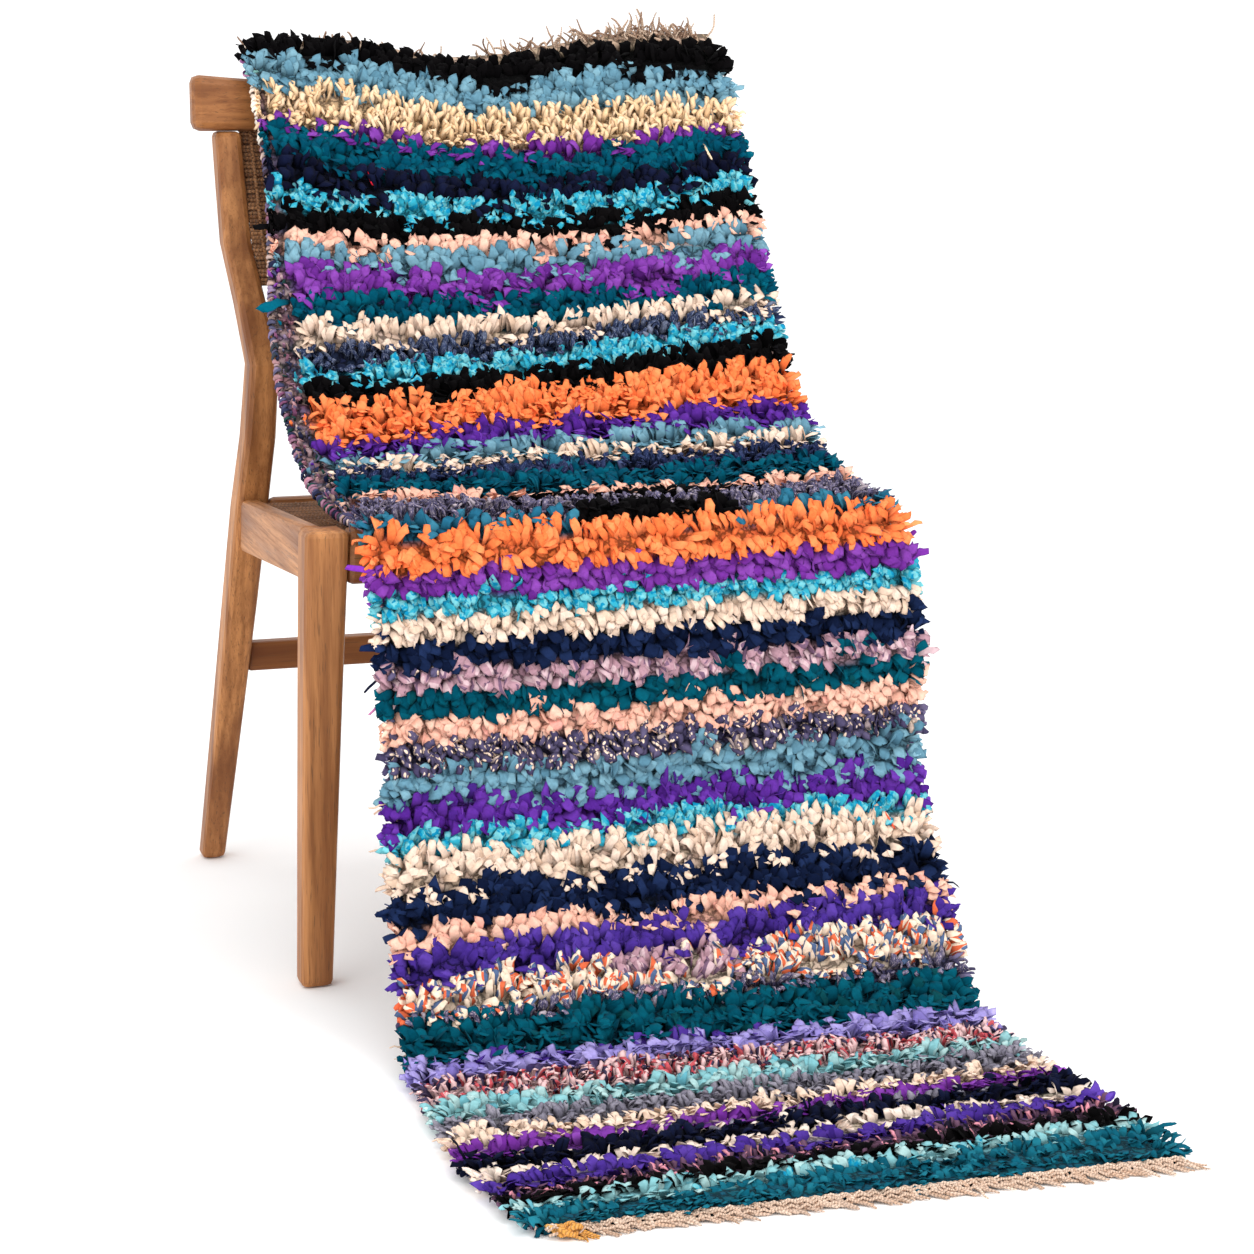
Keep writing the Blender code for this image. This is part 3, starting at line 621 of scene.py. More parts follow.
def oak_group():
    colours = [(word, "NodeSocketColor", None) for word in ("Light", "Dark")]
    group, given, result = new_group(
        "oak grain",
        [("Vector", "NodeSocketVector", None)] + colours,
        [("Colour", "NodeSocketColor"), ("Roughness", "NodeSocketFloat"), ("Height", "NodeSocketFloat")],
    )
    at, light, dark = (given.outputs[word] for word in ("Vector", "Light", "Dark"))
    broad = noise(group, at, 1.0, 3.0, 0.6, (26.0, 26.0, 2.2))
    fine = noise(group, at, 1.0, 4.0, 0.7, (240.0, 240.0, 5.0))
    pores = noise(group, at, 1.0, 2.0, 0.5, (900.0, 900.0, 26.0))
    bands = {"Scale": 22.0, "Distortion": 7.0, "Detail": 2.0, "Detail Scale": 1.2}
    squeezed = stretched(group, at, (1.0, 1.0, 0.09))
    figure = add_node(group, "ShaderNodeTexWave", squeezed, bands, wave_type="BANDS", bands_direction="X")
    tone = mix(group, step_up(group, broad, 0.3, 0.75), light, dark)
    tone = mix(group, step_up(group, figure.outputs["Fac"], 0.45, 1.0, 0.0, 0.35), tone, dark)
    tone = mix(group, step_up(group, fine, 0.40, 0.72, 0.0, 0.60), tone, dark)
    open_pores = step_up(group, pores, 0.60, 0.70, 0.0, 0.6)
    tone = mix(group, open_pores, tone, (0.09, 0.045, 0.02, 1.0))
    group.links.new(tone, result.inputs["Colour"])
    group.links.new(step_up(group, fine, 0.2, 0.8, 0.40, 0.56), result.inputs["Roughness"])
    height = sums(group, "SUBTRACT", sums(group, "MULTIPLY", fine, 0.3), open_pores)
    group.links.new(height, result.inputs["Height"])
    return group


def oak_material(name, grain, turn, light=(196, 134, 80), dark=(116, 66, 31)):
    """turn is the rotation that brings the grain, drawn along Z, to lie along the piece."""
    material, shader = new_material(name, 0.5, specular=0.28)
    tree = material.node_tree
    where = add_node(tree, "ShaderNodeTexCoord").outputs["Object"]
    turned = add_node(tree, "ShaderNodeMapping", where, {"Rotation": turn}).outputs["Vector"]
    tones = {"Light": screen(*light), "Dark": screen(*dark)}
    wood = add_node(tree, "ShaderNodeGroup", node_tree=grain)
    for word, tone in tones.items():
        wood.inputs[word].default_value = tone
    tree.links.new(turned, wood.inputs["Vector"])
    tree.links.new(wood.outputs["Colour"], shader.inputs["Base Color"])
    tree.links.new(wood.outputs["Roughness"], shader.inputs["Roughness"])
    join_bump(material, shader, wood.outputs["Height"], 0.0004, 0.5)
    return material


def twisted_material(name, twist, roughness, lit):
    """Twisted yarn or cord in the dye of each strand: slanted plies with painted shade in the furrows
    between them, and a few lighter fibres.
    """
    material, shader = new_material(name, roughness, sheen=0.05, specular=0.25)
    tree = material.node_tree
    uv, dye = uv_place(tree), attribute(tree, "dye", "Color")
    bands = {"Scale": twist, "Distortion": 0.6}
    plies = add_node(
        tree, "ShaderNodeTexWave", uv, bands, wave_type="BANDS", bands_direction="DIAGONAL"
    )
    # painted shade: the furrows between the plies are darkened towards black
    furrow = step_up(tree, plies.outputs["Fac"], 0.0, 0.6, 0.62, 0.0)
    tone = mix(tree, furrow, dye, mix(tree, 0.72, dye, (0.02, 0.012, 0.008, 1.0)))
    flecks = step_up(tree, noise(tree, uv, 700.0, 2.0), 0.5, 0.75, 0.0, lit)
    tone = mix(tree, flecks, tone, mix(tree, 0.35, dye, (1.0, 0.95, 0.88, 1.0)))
    tree.links.new(tone, shader.inputs["Base Color"])
    join_bump(material, shader, plies.outputs["Fac"], 0.0006, 0.8)
    return material


def mixed_rag_material(name, cloth):
    """Rag strips of many stripes in one piece: the dye of each strip, lighter and darker in places."""
    material, shader = new_material(name, 0.9, sheen=0.01, specular=0.03)
    tree = material.node_tree
    dye = attribute(tree, "dye", "Color")
    dyed = add_node(tree, "ShaderNodeGroup", node_tree=cloth)
    tree.links.new(dye, dyed.inputs["Main"])
    tree.links.new(mix(tree, 1.0, dye, (1.35, 1.35, 1.35, 1.0), "MULTIPLY"), dyed.inputs["Second"])
    tree.links.new(mix(tree, 0.35, dye, (0.02, 0.02, 0.03, 1.0)), dyed.inputs["Fleck"])
    tree.links.new(dyed.outputs["Colour"], shader.inputs["Base Color"])
    join_bump(material, shader, dyed.outputs["Height"], 0.0008, 0.7)
    return material


# ---------------------------------------------------------------- the woven ground
def build_ground(material, back):
    """The thin woven ground that carries the knots, with the stripes' colours on it."""
    rows, cells = GROUND_ROWS, GROUND_CELLS
    shape = bmesh.new()
    made = bmesh.ops.create_grid(shape, x_segments=cells, y_segments=rows, size=0.5)["verts"]
    spots = np.array([vert.co for vert in made])
    share = spots[:, 0] + 0.5
    share = 0.4 * share + 0.3 * (1 - np.cos(math.pi * share))  # closer columns near the edges
    length = (spots[:, 1] + 0.5) * RUG.length
    rim = np.minimum(share, 1 - share) * RUG_WIDTH
    inner = blend(rim, 0.002, 0.016) * blend(length, FLAT_END, 0.030)
    inner = inner * blend(RUG.length - length, 0.0, 0.010)
    lumps = Ripple(np.random.default_rng(SEED + 9), 0.03, 0.07).at(length, share)
    placed = RUG.at(length, share, GROUND + (BED + 0.0012 * lumps) * inner)
    for vert, spot in zip(made, placed):
        vert.co = spot
    mesh = bpy.data.meshes.new("woven_ground")
    shape.to_mesh(mesh)
    shape.free()
    numbers = stripe_at(length, share)
    dyes = np.array([screen(*YARNS[name].main) for name, *_ in STRIPES[:-1]])
    bare = screen(222, 192, 166)
    colours = np.where((length < FLAT_END - 0.009)[:, None], np.array(bare), dyes[numbers])
    beside = (share < bare_share(length))[:, None]
    colours = np.where(beside, pick_dyes(np.random.default_rng(SEED + 11), EDGE_DYES, len(share)), colours)
    layer = mesh.attributes.new("stripe", "FLOAT_COLOR", "POINT")
    layer.data.foreach_set("color", colours.astype(np.float32).ravel())
    weave = mesh.uv_layers.new(name="weave")
    corners = np.empty(len(mesh.loops), np.int32)
    mesh.loops.foreach_get("vertex_index", corners)
    mapped = np.stack([share * RUG_WIDTH, length], -1)[corners]
    weave.data.foreach_set("uv", mapped.astype(np.float32).ravel())
    first = mesh.polygons[0]
    out = RUG.ways(length[:1], share[:1])[2][0]
    if Vector(out).dot(first.normal) < 0:
        mesh.flip_normals()
    mesh.shade_smooth()
    ground = show("woven_ground", mesh, material, "rag_pile", "rug_body")
    wall = ground.modifiers.new("thickness", "SOLIDIFY")
    wall.thickness = GROUND - 0.0002
    wall.offset = -1.0
    ground.data.materials.append(back)
    wall.material_offset = 1
    return ground


def bed_material(name):
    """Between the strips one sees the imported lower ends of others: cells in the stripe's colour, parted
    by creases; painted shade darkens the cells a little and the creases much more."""
    material, shader = new_material(name, 0.92, sheen=0.02, specular=0.08)
    tree = material.node_tree
    uv, stripe = uv_place(tree, "weave"), attribute(tree, "stripe", "Color")
    bent = add_node(tree, "ShaderNodeTexNoise", uv, {"Scale": 160.0})
    moved = mix(tree, 0.010, uv, bent.outputs["Color"], "ADD")
    rags, tints = (
        add_node(tree, "ShaderNodeTexVoronoi", moved, {"Scale": 105.0}, feature=feature)
        for feature in ("DISTANCE_TO_EDGE", "F1")
    )
    # painted shade: the whole bed is darkened a quarter towards black, and far more towards each cell's
    # edge, for the shade deep between the strips
    painted_crease_shade = step_up(tree, rags.outputs["Distance"], 0.02, 0.22, 0.85, 0.0)
    tone = mix(tree, 0.10, stripe, tints.outputs["Color"], "SOFT_LIGHT")
    tone = mix(tree, 0.25, tone, (0.0, 0.0, 0.0, 1.0))
    tone = mix(tree, painted_crease_shade, tone, mix(tree, 0.85, tone, (0.0, 0.0, 0.0, 1.0)))
    tree.links.new(tone, shader.inputs["Base Color"])
    join_bump(material, shader, rags.outputs["Distance"], 0.004, 0.9)
    return material


def ground_material(name, rag_share, shade):
    """The weave: wool weft with the knots' rags between, and painted shade in the furrows of the weft.
    shade is how far the rags are darkened.
    """
    material, shader = new_material(name, 0.92, sheen=0.06, specular=0.2)
    tree = material.node_tree
    uv, stripe = uv_place(tree, "weave"), attribute(tree, "stripe", "Color")
    weft, warp = (
        add_node(tree, "ShaderNodeTexWave", uv, bands, wave_type="BANDS", bands_direction=way)
        for way, bands in (
            ("Y", {"Scale": 70.0, "Distortion": 1.2, "Detail Scale": 3.0}),
            ("X", {"Scale": 55.0}),
        )
    )
    knots = noise(tree, uv, 1.0, 1.0, 0.5, (140.0, 90.0, 1.0))
    wool = mix(tree, noise(tree, uv, 60.0), screen(206, 182, 158), screen(150, 128, 116))
    rags = step_up(tree, knots, 0.42, 0.54, *rag_share)
    tone = mix(tree, rags, wool, mix(tree, shade, stripe, (0.0, 0.0, 0.0, 1.0)))
    # painted shade: the furrows between the weft rows are darkened almost to black
    furrow = step_up(tree, weft.outputs["Fac"], 0.0, 0.5, 0.5, 0.0)
    tone = mix(tree, furrow, tone, (0.03, 0.025, 0.03, 1.0))
    tree.links.new(tone, shader.inputs["Base Color"])
    height = sums(tree, "ADD", weft.outputs["Fac"], sums(tree, "MULTIPLY", warp.outputs["Fac"], 0.5))
    join_bump(material, shader, height, 0.0015, 0.9)
    return material


# ---------------------------------------------------------------- the knotted pile
FLAT_STRIP, ROUND_STRIP, UNCUT_STRIP = Pattern(3, 4), Pattern(4, 4), Pattern(6, 4)
# places of the joints along a cut strip, closer together where it bends over
JOINT_PLACES = {3: np.array([0.0, 0.52, 0.80, 1.0]), 4: np.array([0.0, 0.44, 0.68, 0.86, 1.0])}


# how a strip of flat rag and one of round rag lies: how far it falls and how late it bends, the width
# of its tip, its greatest thickness, and the share that stands on edge
Body = namedtuple("Body", "fall late tips thickest on_edge")
FLAT_BODY = Body((1.25, 1.75), (1.0, 1.8), (0.58, 1.06), 0.0017, 0.07)
ROUND_BODY = Body((1.25, 2.0), (2.0, 3.2), (0.30, 0.85), 0.0030, 0.14)


class Ripple:
    """A smooth random number between about -1 and 1 at each place of the rug."""

    def __init__(self, chance, shortest, longest, waves=7):
        turn = chance.uniform(0, 2 * math.pi, waves)
        pace = 2 * math.pi / chance.uniform(shortest, longest, waves)
        self.along, self.across = pace * np.cos(turn), pace * np.sin(turn)
        self.shift = chance.uniform(0, 2 * math.pi, waves)

    def at(self, length, share):
        phase = np.multiply.outer(length, self.along) + np.multiply.outer(share * RUG_WIDTH, self.across)
        return np.sin(phase + self.shift).sum(axis=-1) / math.sqrt(len(self.shift))


def lay_strips(
    pattern, chance, root, out, lean, length, width, thick, rise, fall, late, roll, swerve, tips,
):
    """Bends one strip from each root: out of the ground at the angle rise, over to the angle fall.
    late is how far along the strip the bend comes: 1 bends evenly, 3 close to the tip."""
    count, joints = len(length), pattern.joints
    t = JOINT_PLACES.get(joints, np.linspace(0.0, 1.0, joints + 1))
    angle = rise[:, None] + (fall - rise)[:, None] * t ** late[:, None]
    turn = swerve[:, None] * t
    side = np.cross(out, lean)
    towards = lean[:, None] * np.cos(turn)[..., None] + side[:, None] * np.sin(turn)[..., None]
    way = out[:, None] * np.cos(angle)[..., None] + towards * np.sin(angle)[..., None]
    steps = (way[:, 1:] + way[:, :-1]) / 2 * (length[:, None] * np.diff(t)[None])[..., None]
    middles = root[:, None] + np.concatenate([np.zeros((count, 1, 3)), np.cumsum(steps, axis=1)], axis=1)
    middles[:, 1:] += chance.normal(0.0, 0.0006, (count, joints, 3))
    across = unit(np.cross(np.broadcast_to(out[:, None], towards.shape), towards))
    over = np.cross(way, across)
    tilt = (roll[:, None] + chance.normal(0.0, 0.12, (count, joints + 1)))[..., None]
    across, over = across * np.cos(tilt) + over * np.sin(tilt), over * np.cos(tilt) - across * np.sin(tilt)
    tip = chance.uniform(*tips, (count, 1))
    swell = 0.58 + 0.42 * blend(t, 0.0, 0.55)[None]
    swell = swell * (1 - (1 - tip) * np.clip((t - 0.72) / 0.28, 0.0, 1.0)[None] ** 1.5)
    swell = swell * chance.uniform(0.88, 1.12, (count, joints + 1))
    half_width = width[:, None] / 2 * swell
    half_thick = thick[:, None] / 2 * (1.05 - 0.45 * t)[None]
    return middles, across, over, half_width, half_thick


def knot_rows(chance):
    """Every knot of the pile: its length down the rug, its share of the width, its rag, and the
    number of the nearest stripe edge with how near it lies."""
    names = list(YARNS)
    found = []
    for number in range(len(STRIPES) - 1):
        name = STRIPES[number][0]
        yarn = YARNS[name]
        probe = np.linspace(0.0, 1.0, 9)
        height = float(np.mean(stripe_start(number + 1, probe) - stripe_start(number, probe)))
        rows = max(1, round(height / ROW_PITCH * math.sqrt(yarn.crowd)))
        for row in range(rows):
            part = (row + 0.5) / rows
            count = round(RUG_WIDTH / KNOT_PITCH * math.sqrt(yarn.crowd))
            share = (np.arange(count) + 0.5 + chance.uniform(-0.4, 0.4, count)) / count
            start, end = stripe_start(number, share), stripe_start(number + 1, share)
            stray = chance.uniform(-0.30, 0.30, count) * (end - start) / rows
            length = start + (end - start) * part + stray
            rag = np.full(count, names.index(name))
            for insert in INSERTS:
                if insert.stripe == number and insert.top <= part <= insert.bottom:
                    here = (share > insert.left) & (share < insert.right)
                    here &= chance.random(count) < insert.share
                    rag[here] = names.index(insert.yarn)
            edge = np.full(count, number + (part > 0.5))
            gap = np.where(part > 0.5, end - length, length - start)
            found.append((length, share, rag, edge, gap))
    return [np.concatenate(column) for column in zip(*found)]


def hanging(out):
    """0 where the rug lies flat or slopes, 1 where it hangs upright and its pile with it."""
    return blend(1.0 - out[:, 2], *UPRIGHT)


def left_edge_bare(length):
    """1 from the rail to the seat, where the left edge shows the weave, and 0 past both."""
    return blend(length, 0.03, 0.07) * (1 - blend(length, 0.66, 0.73))


def bare_share(length):
    """Share of the width at the left edge that has no pile."""
    widest = BARE_BY_RAIL + (BARE_BY_SEAT - BARE_BY_RAIL) * blend(length, *BARE_GROWS)
    return left_edge_bare(length) * widest


def strip_leans(chance, length, share, edge, gap, down, right, out):
    """Which way each strip falls. Neighbours lean alike, in tufts, and near the edge of a stripe both
    sides lean the same way, so one stripe laps over the other."""
    count = len(length)
    tufts = Ripple(chance, 0.016, 0.040)
    swings = Ripple(chance, 0.014, 0.034)
    laps = Ripple(chance, 0.05, 0.15)
    hangs = hanging(out) * HANG_BIAS
    # on a slope most of it stands up and shows its broad side
    rises = SLOPE_BIAS * blend(1.0 - out[:, 2], 0.12, 0.28) * (1 - hanging(out))
    lap = laps.at(edge * 0.37, share) + 1.7 * hangs - 0.8 * rises
    tuft = tufts.at(length, share) + hangs - rises
    falls = np.where(gap < LAP_REACH, lap, tuft) > 0.0
    falls &= (length > FLAT_END + 0.010) | (chance.random(count) < 0.2)  # the first rows cover the flat end
    angle = np.where(falls, 0.0, math.pi) + 0.60 * swings.at(length, share)
    angle = angle + chance.normal(0.0, 0.36, count)
    near = np.minimum(share, 1 - share) * RUG_WIDTH < 0.010
    outward = near & (chance.random(count) < 0.45)
    sideways = np.where(share < 0.5, -math.pi / 2, math.pi / 2) + chance.normal(0.0, 0.5, count)
    angle = np.where(outward, sideways, angle)
    return down * np.cos(angle)[:, None] + right * np.sin(angle)[:, None]


def build_pile(cloth):
    """The pile: one joined piece for each kind of rag."""
    chance = np.random.default_rng(SEED)
    columns = knot_rows(chance)
    again = chance.random(len(columns[0])) < SECOND_END
    length, share, rag, edge, gap = (np.concatenate([column, column[again]]) for column in columns)
    twins = len(length) - again.sum()
    length[twins:] += chance.uniform(-0.003, 0.003, again.sum())
    share[twins:] += chance.uniform(-0.007, 0.007, again.sum())
    share = np.clip(share, 0.004, 0.996)
    bare = bare_share(length)
    share = bare + share * (1 - bare)
    length = np.clip(length, FLAT_END, RUG.length - 0.003)
    length = np.maximum(length - HANG_SHIFT * hanging(RUG.ways(length, share)[2]), FLAT_END)
    down, right, out = RUG.ways(length, share)
    lean = strip_leans(chance, length, share, edge, gap, down, right, out)
    upright = blend(1.0 - out[:, 2], 0.25, 0.50)
    lying = blend(length, 1.28, 1.40) + 0.6 * blend(length, 1.58, 1.60)
    root = RUG.back(length, share) + out * (GROUND - 0.002)
    pieces = []
    for number, (name, yarn) in enumerate(YARNS.items()):
        mine = rag == number
        bundle = Bundle()
        looped = chance.random(len(rag)) < yarn.loops
        cut_strip = FLAT_STRIP if yarn.body == "flat" else ROUND_STRIP
        for pattern, chosen in ((cut_strip, mine & ~looped), (UNCUT_STRIP, mine & looped)):
            count = int(chosen.sum())
            if not count:
                continue
            uncut = pattern is UNCUT_STRIP
            width = yarn.width / 1000 * chance.uniform(0.80, 1.22, count) * (0.70 if uncut else 1.15)
            reach = yarn.reach / 1000 * chance.uniform(0.88, 1.14, count) * (1.40 if uncut else 1.0)
            lie, hangs = lying[chosen], upright[chosen]
            width, reach = width * (1 - 0.18 * lie), reach * (1 - 0.24 * lie)
            flat = yarn.body == "flat" and not uncut
            body = FLAT_BODY if flat else ROUND_BODY
            thick = np.minimum(chance.uniform(0.6 * body.thickest, body.thickest, count), width * 0.5)
            rise = chance.uniform(-0.15, 0.20, count) + 0.25 * lie
            fall, late = chance.uniform(*body.fall, count), chance.uniform(*body.late, count)
            rise, fall, late = rise + 0.15 * hangs, fall + 0.20 * hangs, late * (1 - 0.35 * hangs)
            if uncut:
                fall, late = chance.uniform(3.0, 4.0, count), np.ones(count)
            on_edge = chance.random(count) < body.on_edge
            roll = chance.normal(0.0, 0.22, count)
            roll = np.where(on_edge, np.sign(roll) * chance.uniform(0.8, 1.4, count), roll)
            swerve = chance.normal(0.0, 0.35, count)
            swept = lay_strips(
                pattern, chance, root[chosen], out[chosen], lean[chosen], reach, width, thick,
                rise, fall, late, roll, swerve, body.tips,
            )
            looks = strip_looks(chance, count, (-0.08, 0.28), 0.42)
            bundle.add(pattern, *swept, crisp=flat, **looks)
        if bundle.count:
            pieces.append(bundle.piece(f"pile_{name}", rag_material(name, yarn, cloth), "rag_pile"))
    return pieces


# ---------------------------------------------------------------- the rug's edges and ends
def pick_dyes(chance, palette, count):
    """A linear colour for each of count strips, from a palette of screen colours, with a little spread."""
    shades = np.array([screen(*colour) for colour in palette])[chance.integers(0, len(palette), count)]
    shades[:, :3] *= chance.uniform(0.82, 1.12, (count, 1))
    return np.clip(shades, 0.0, 1.0)


def edge_of(side, length, inset=0.0):
    """Places along one edge, inset by a share of the width: the share there, and the ways down the rug,
    outward and out of the pile."""
    share = np.abs((0.0 if side == "left" else 1.0) - inset)
    down, right, out = RUG.ways(length, share)
    return share, down, right if side == "right" else -right, out


def strip_looks(chance, count, fold, cut, tint=(0.0, 1.0)):
    """What sets one strip off from the next: its fold, tint, place in the figure and slanted cut."""
    return {
        "fold": chance.uniform(*fold, count), "tint": chance.uniform(*tint, count),
        "drift": chance.uniform(0.0, 5.0, count), "cut": chance.normal(0.0, cut, count),
    }


def two_dyes(chance, chosen, first, second):
    """Colours from the first palette where chosen, and from the second elsewhere."""
    count = len(chosen)
    return np.where(chosen[:, None], pick_dyes(chance, first, count), pick_dyes(chance, second, count))


def build_edge_rags(side, material):
    """The rags that stand out past one edge, in their stripes' colours."""
    chance = np.random.default_rng(SEED + (1 if side == "left" else 2))
    length = np.arange(FLAT_END + 0.002, RUG.length - 0.004, EDGE_RAG_PITCH)
    length = np.repeat(length, 2) + chance.uniform(-0.002, 0.002, 2 * len(length))
    count = len(length)
    bare = left_edge_bare(length) * (side == "left")
    broad = bare * blend(length, *BARE_GROWS)
    inset = (chance.uniform(0.0, 0.006, count) + chance.uniform(0.0, 0.020, count) * broad) / RUG_WIDTH
    share, down, outward, out = edge_of(side, length, inset)
    number = stripe_at(length, share)
    names = [STRIPES[n][0] for n in number]
    angle = chance.normal(0.0, 0.50, count) + chance.normal(0.0, 0.9, count) * broad
    lean = unit(outward * np.cos(angle)[:, None] + down * (np.sin(angle) + 0.15)[:, None])
    root = RUG.back(length, share) + out * (GROUND - 0.0015)
    width = np.array([YARNS[name].width for name in names]) / 1000 * chance.uniform(0.6, 1.05, count)
    reach = chance.uniform(0.014, 0.023, count) * np.where(chance.random(count) < 0.04, 1.45, 1.0)
    width, reach = width * (1 - 0.30 * broad), reach * (1 - 0.36 * bare - 0.06 * broad)
    rise = chance.uniform(0.3, 1.0, count) * (1 - 0.8 * bare)
    fall = chance.uniform(1.2, 2.0, count) * (1 - 0.5 * bare)
    thick = chance.uniform(0.0012, 0.0022, count)
    roll = chance.normal(0.0, 0.6, count)
    swept = lay_strips(
        ROUND_STRIP, chance, root, out, lean, reach, width, thick, rise, fall,
        chance.uniform(0.8, 1.6, count), roll, chance.normal(0.0, 0.4, count), (0.35, 0.95),
    )
    dye = np.array([screen(*YARNS[name][chance.integers(0, 2)]) for name in names])
    muted = chance.random(count) < 0.85 * broad
    dye = np.where(muted[:, None], pick_dyes(chance, EDGE_DYES + UNDER_EDGE_DYES, count), dye)
    bundle = Bundle()
    bundle.add(ROUND_STRIP, *swept, dye=dye, crisp=True, **strip_looks(chance, count, (0.0, 0.5), 0.6))
    bends = ("rail", "hang", "swing", "seat", "edge", "drop", "flare", "floor")
    nodes = [f"{side}_locks_{bend}" for bend in bends] + [f"{side}_locks_crest"]
    return bundle.piece(f"{side}_edge_rags", material, "rag_locks", *nodes)


# single rags and threads that hang out of the pile: length down the rug, share of its width, height over
# the ground in mm, the way they point in degrees (0 down the rug, 90 to the right), length and width in mm
Stray = namedtuple("Stray", "length share height way reach width dye")
STRAYS = (
    Stray(0.168, 0.012, 6, -22, 44, 8.0, (18, 22, 48)),
    Stray(0.236, 0.004, 3, -95, 26, 7.0, (12, 11, 13)),
    Stray(0.326, 0.026, 9, -62, 42, 12.0, (0, 84, 104)),
    Stray(0.772, 0.008, 6, -84, 40, 5.6, (122, 50, 168)),
    Stray(0.842, 0.004, 3, -94, 30, 7.0, (20, 34, 70)),
    Stray(0.862, 0.004, 3, -50, 38, 2.4, (22, 26, 48)),
    Stray(0.885, 0.004, 3, -62, 34, 2.6, (192, 118, 164)),
    Stray(0.985, 0.002, 3, -76, 32, 1.8, (216, 182, 160)),
    Stray(0.989, 0.002, 3, -84, 28, 1.8, (208, 170, 148)),
    Stray(1.030, 0.002, 3, -80, 30, 2.0, (220, 188, 166)),
    Stray(1.100, 0.004, 3, -92, 30, 7.5, (18, 32, 66)),
    Stray(1.225, 0.002, 3, -70, 28, 1.8, (222, 196, 174)),
    Stray(1.235, 0.002, 3, -84, 24, 1.8, (222, 196, 174)),
    Stray(0.030, 0.000, 2, -110, 15, 4.0, (118, 66, 118)),
    Stray(0.036, 0.000, 2, -100, 17, 4.0, (158, 96, 152)),
    Stray(0.042, 0.000, 2, -88, 16, 3.6, (98, 50, 104)),
    Stray(0.048, 0.000, 2, -96, 15, 3.6, (196, 138, 176)),
    Stray(0.046, 0.006, 6, -70, 17, 4.4, (140, 196, 190)),
    Stray(0.150, 0.930, 17, 4, 24, 2.6, (238, 212, 178)),
    Stray(0.180, 0.205, 15, 12, 18, 1.8, (196, 30, 48)),
    Stray(0.174, 0.240, 15, 60, 9, 1.8, (196, 30, 48)),
    Stray(1.040, 0.930, 15, 10, 22, 2.4, (232, 90, 60)),
)


def build_stray_rags(material):
    """The rags and threads of STRAYS, each with a bend of its own."""
    chance = np.random.default_rng(SEED + 10)
    count = len(STRAYS)
    columns = list(zip(*STRAYS))[:6]
    length, share, height, way, reach, width = (np.array(column, float) for column in columns)
    down, right, out = RUG.ways(length, share)
    way = np.radians(way)
    lean = down * np.cos(way)[:, None] + right * np.sin(way)[:, None]
    root = RUG.back(length, share) + out * (height / 1000)[:, None] - lean * 0.004
    swept = lay_strips(
        UNCUT_STRIP, chance, root, out, lean, reach / 1000, width / 1000, np.full(count, 0.0016),
        chance.uniform(0.9, 1.3, count), chance.uniform(1.5, 2.0, count), np.ones(count),
        chance.normal(0.0, 0.2, count), chance.normal(0.0, 0.3, count), (0.7, 1.0),
    )
    dye = np.array([screen(*stray.dye) for stray in STRAYS])
    bundle = Bundle()
    looks = strip_looks(chance, count, (0.0, 0.3), 0.5, tint=(0.3, 0.8))
    bundle.add(UNCUT_STRIP, *swept, dye=dye, crisp=True, **looks)
    return bundle.piece("stray_rags", material, "rag_locks")


def build_selvedge(side, material):
    """The weft's turns round the outermost warp: one short bean after another along the edge."""
    chance = np.random.default_rng(SEED + (3 if side == "left" else 4))
    length = np.arange(0.004, RUG.length - 0.002, SELVEDGE_PITCH)
    length = length + chance.uniform(-0.0008, 0.0008, len(length))
    count = len(length)
    share, down, outward, out = edge_of(side, length)
    middle = RUG.back(length, share) + out * (GROUND / 2) - outward * 0.0015
    # from the pile's side round the edge to the back
    turn = np.linspace(-0.62 * math.pi, 0.62 * math.pi, SELVEDGE_TURN.joints + 1)
    shown = left_edge_bare(length) * (side == "left")
    radius = (chance.uniform(0.0026, 0.0050, count) * (1 + 0.15 * shown))[:, None, None]
    slant = chance.normal(0.0, 0.0022, (count, 1, 1)) * np.linspace(-1, 1, len(turn))[None, :, None]
    spoke = outward[:, None] * np.cos(turn)[None, :, None] + out[:, None] * np.sin(turn)[None, :, None]
    middles = middle[:, None] + spoke * radius + down[:, None] * slant
    across = np.broadcast_to(down[:, None], middles.shape)
    ends = np.sin(np.linspace(0.12 * math.pi, 0.88 * math.pi, len(turn)))[None]
    half_width = chance.uniform(0.0018, 0.0036, (count, 1)) * (0.6 + 0.4 * ends)
    half_thick = chance.uniform(0.0010, 0.0016, (count, 1)) * ends
    cream = length < 0.13
    dye = two_dyes(chance, cream, EDGE_CREAMS, EDGE_DYES)
    dark = (length > 0.42) & (length < 0.66)
    dye = np.where(dark[:, None], pick_dyes(chance, UNDER_EDGE_DYES, count), dye)
    bundle = Bundle()
    bundle.add(
        SELVEDGE_TURN, middles, across, spoke, half_width, half_thick, tint=chance.random(count),
        drift=chance.uniform(0.0, 5.0, count), dye=dye,
    )
    return bundle.piece(f"{side}_selvedge", material, "rag_locks")


SELVEDGE_TURN = Pattern(5, 4)
EDGE_CREAMS = ((236, 226, 214), (226, 214, 202), (240, 222, 206))
EDGE_DYES = (
    (168, 128, 132), (176, 146, 150), (136, 118, 146), (92, 90, 116), (196, 172, 164),
    (138, 92, 112), (164, 138, 130), (112, 98, 128), (74, 60, 74), (60, 66, 74),
)
UNDER_EDGE_DYES = (
    (34, 62, 60), (120, 74, 104), (184, 128, 142), (72, 72, 104), (40, 44, 70), (150, 110, 130),
)


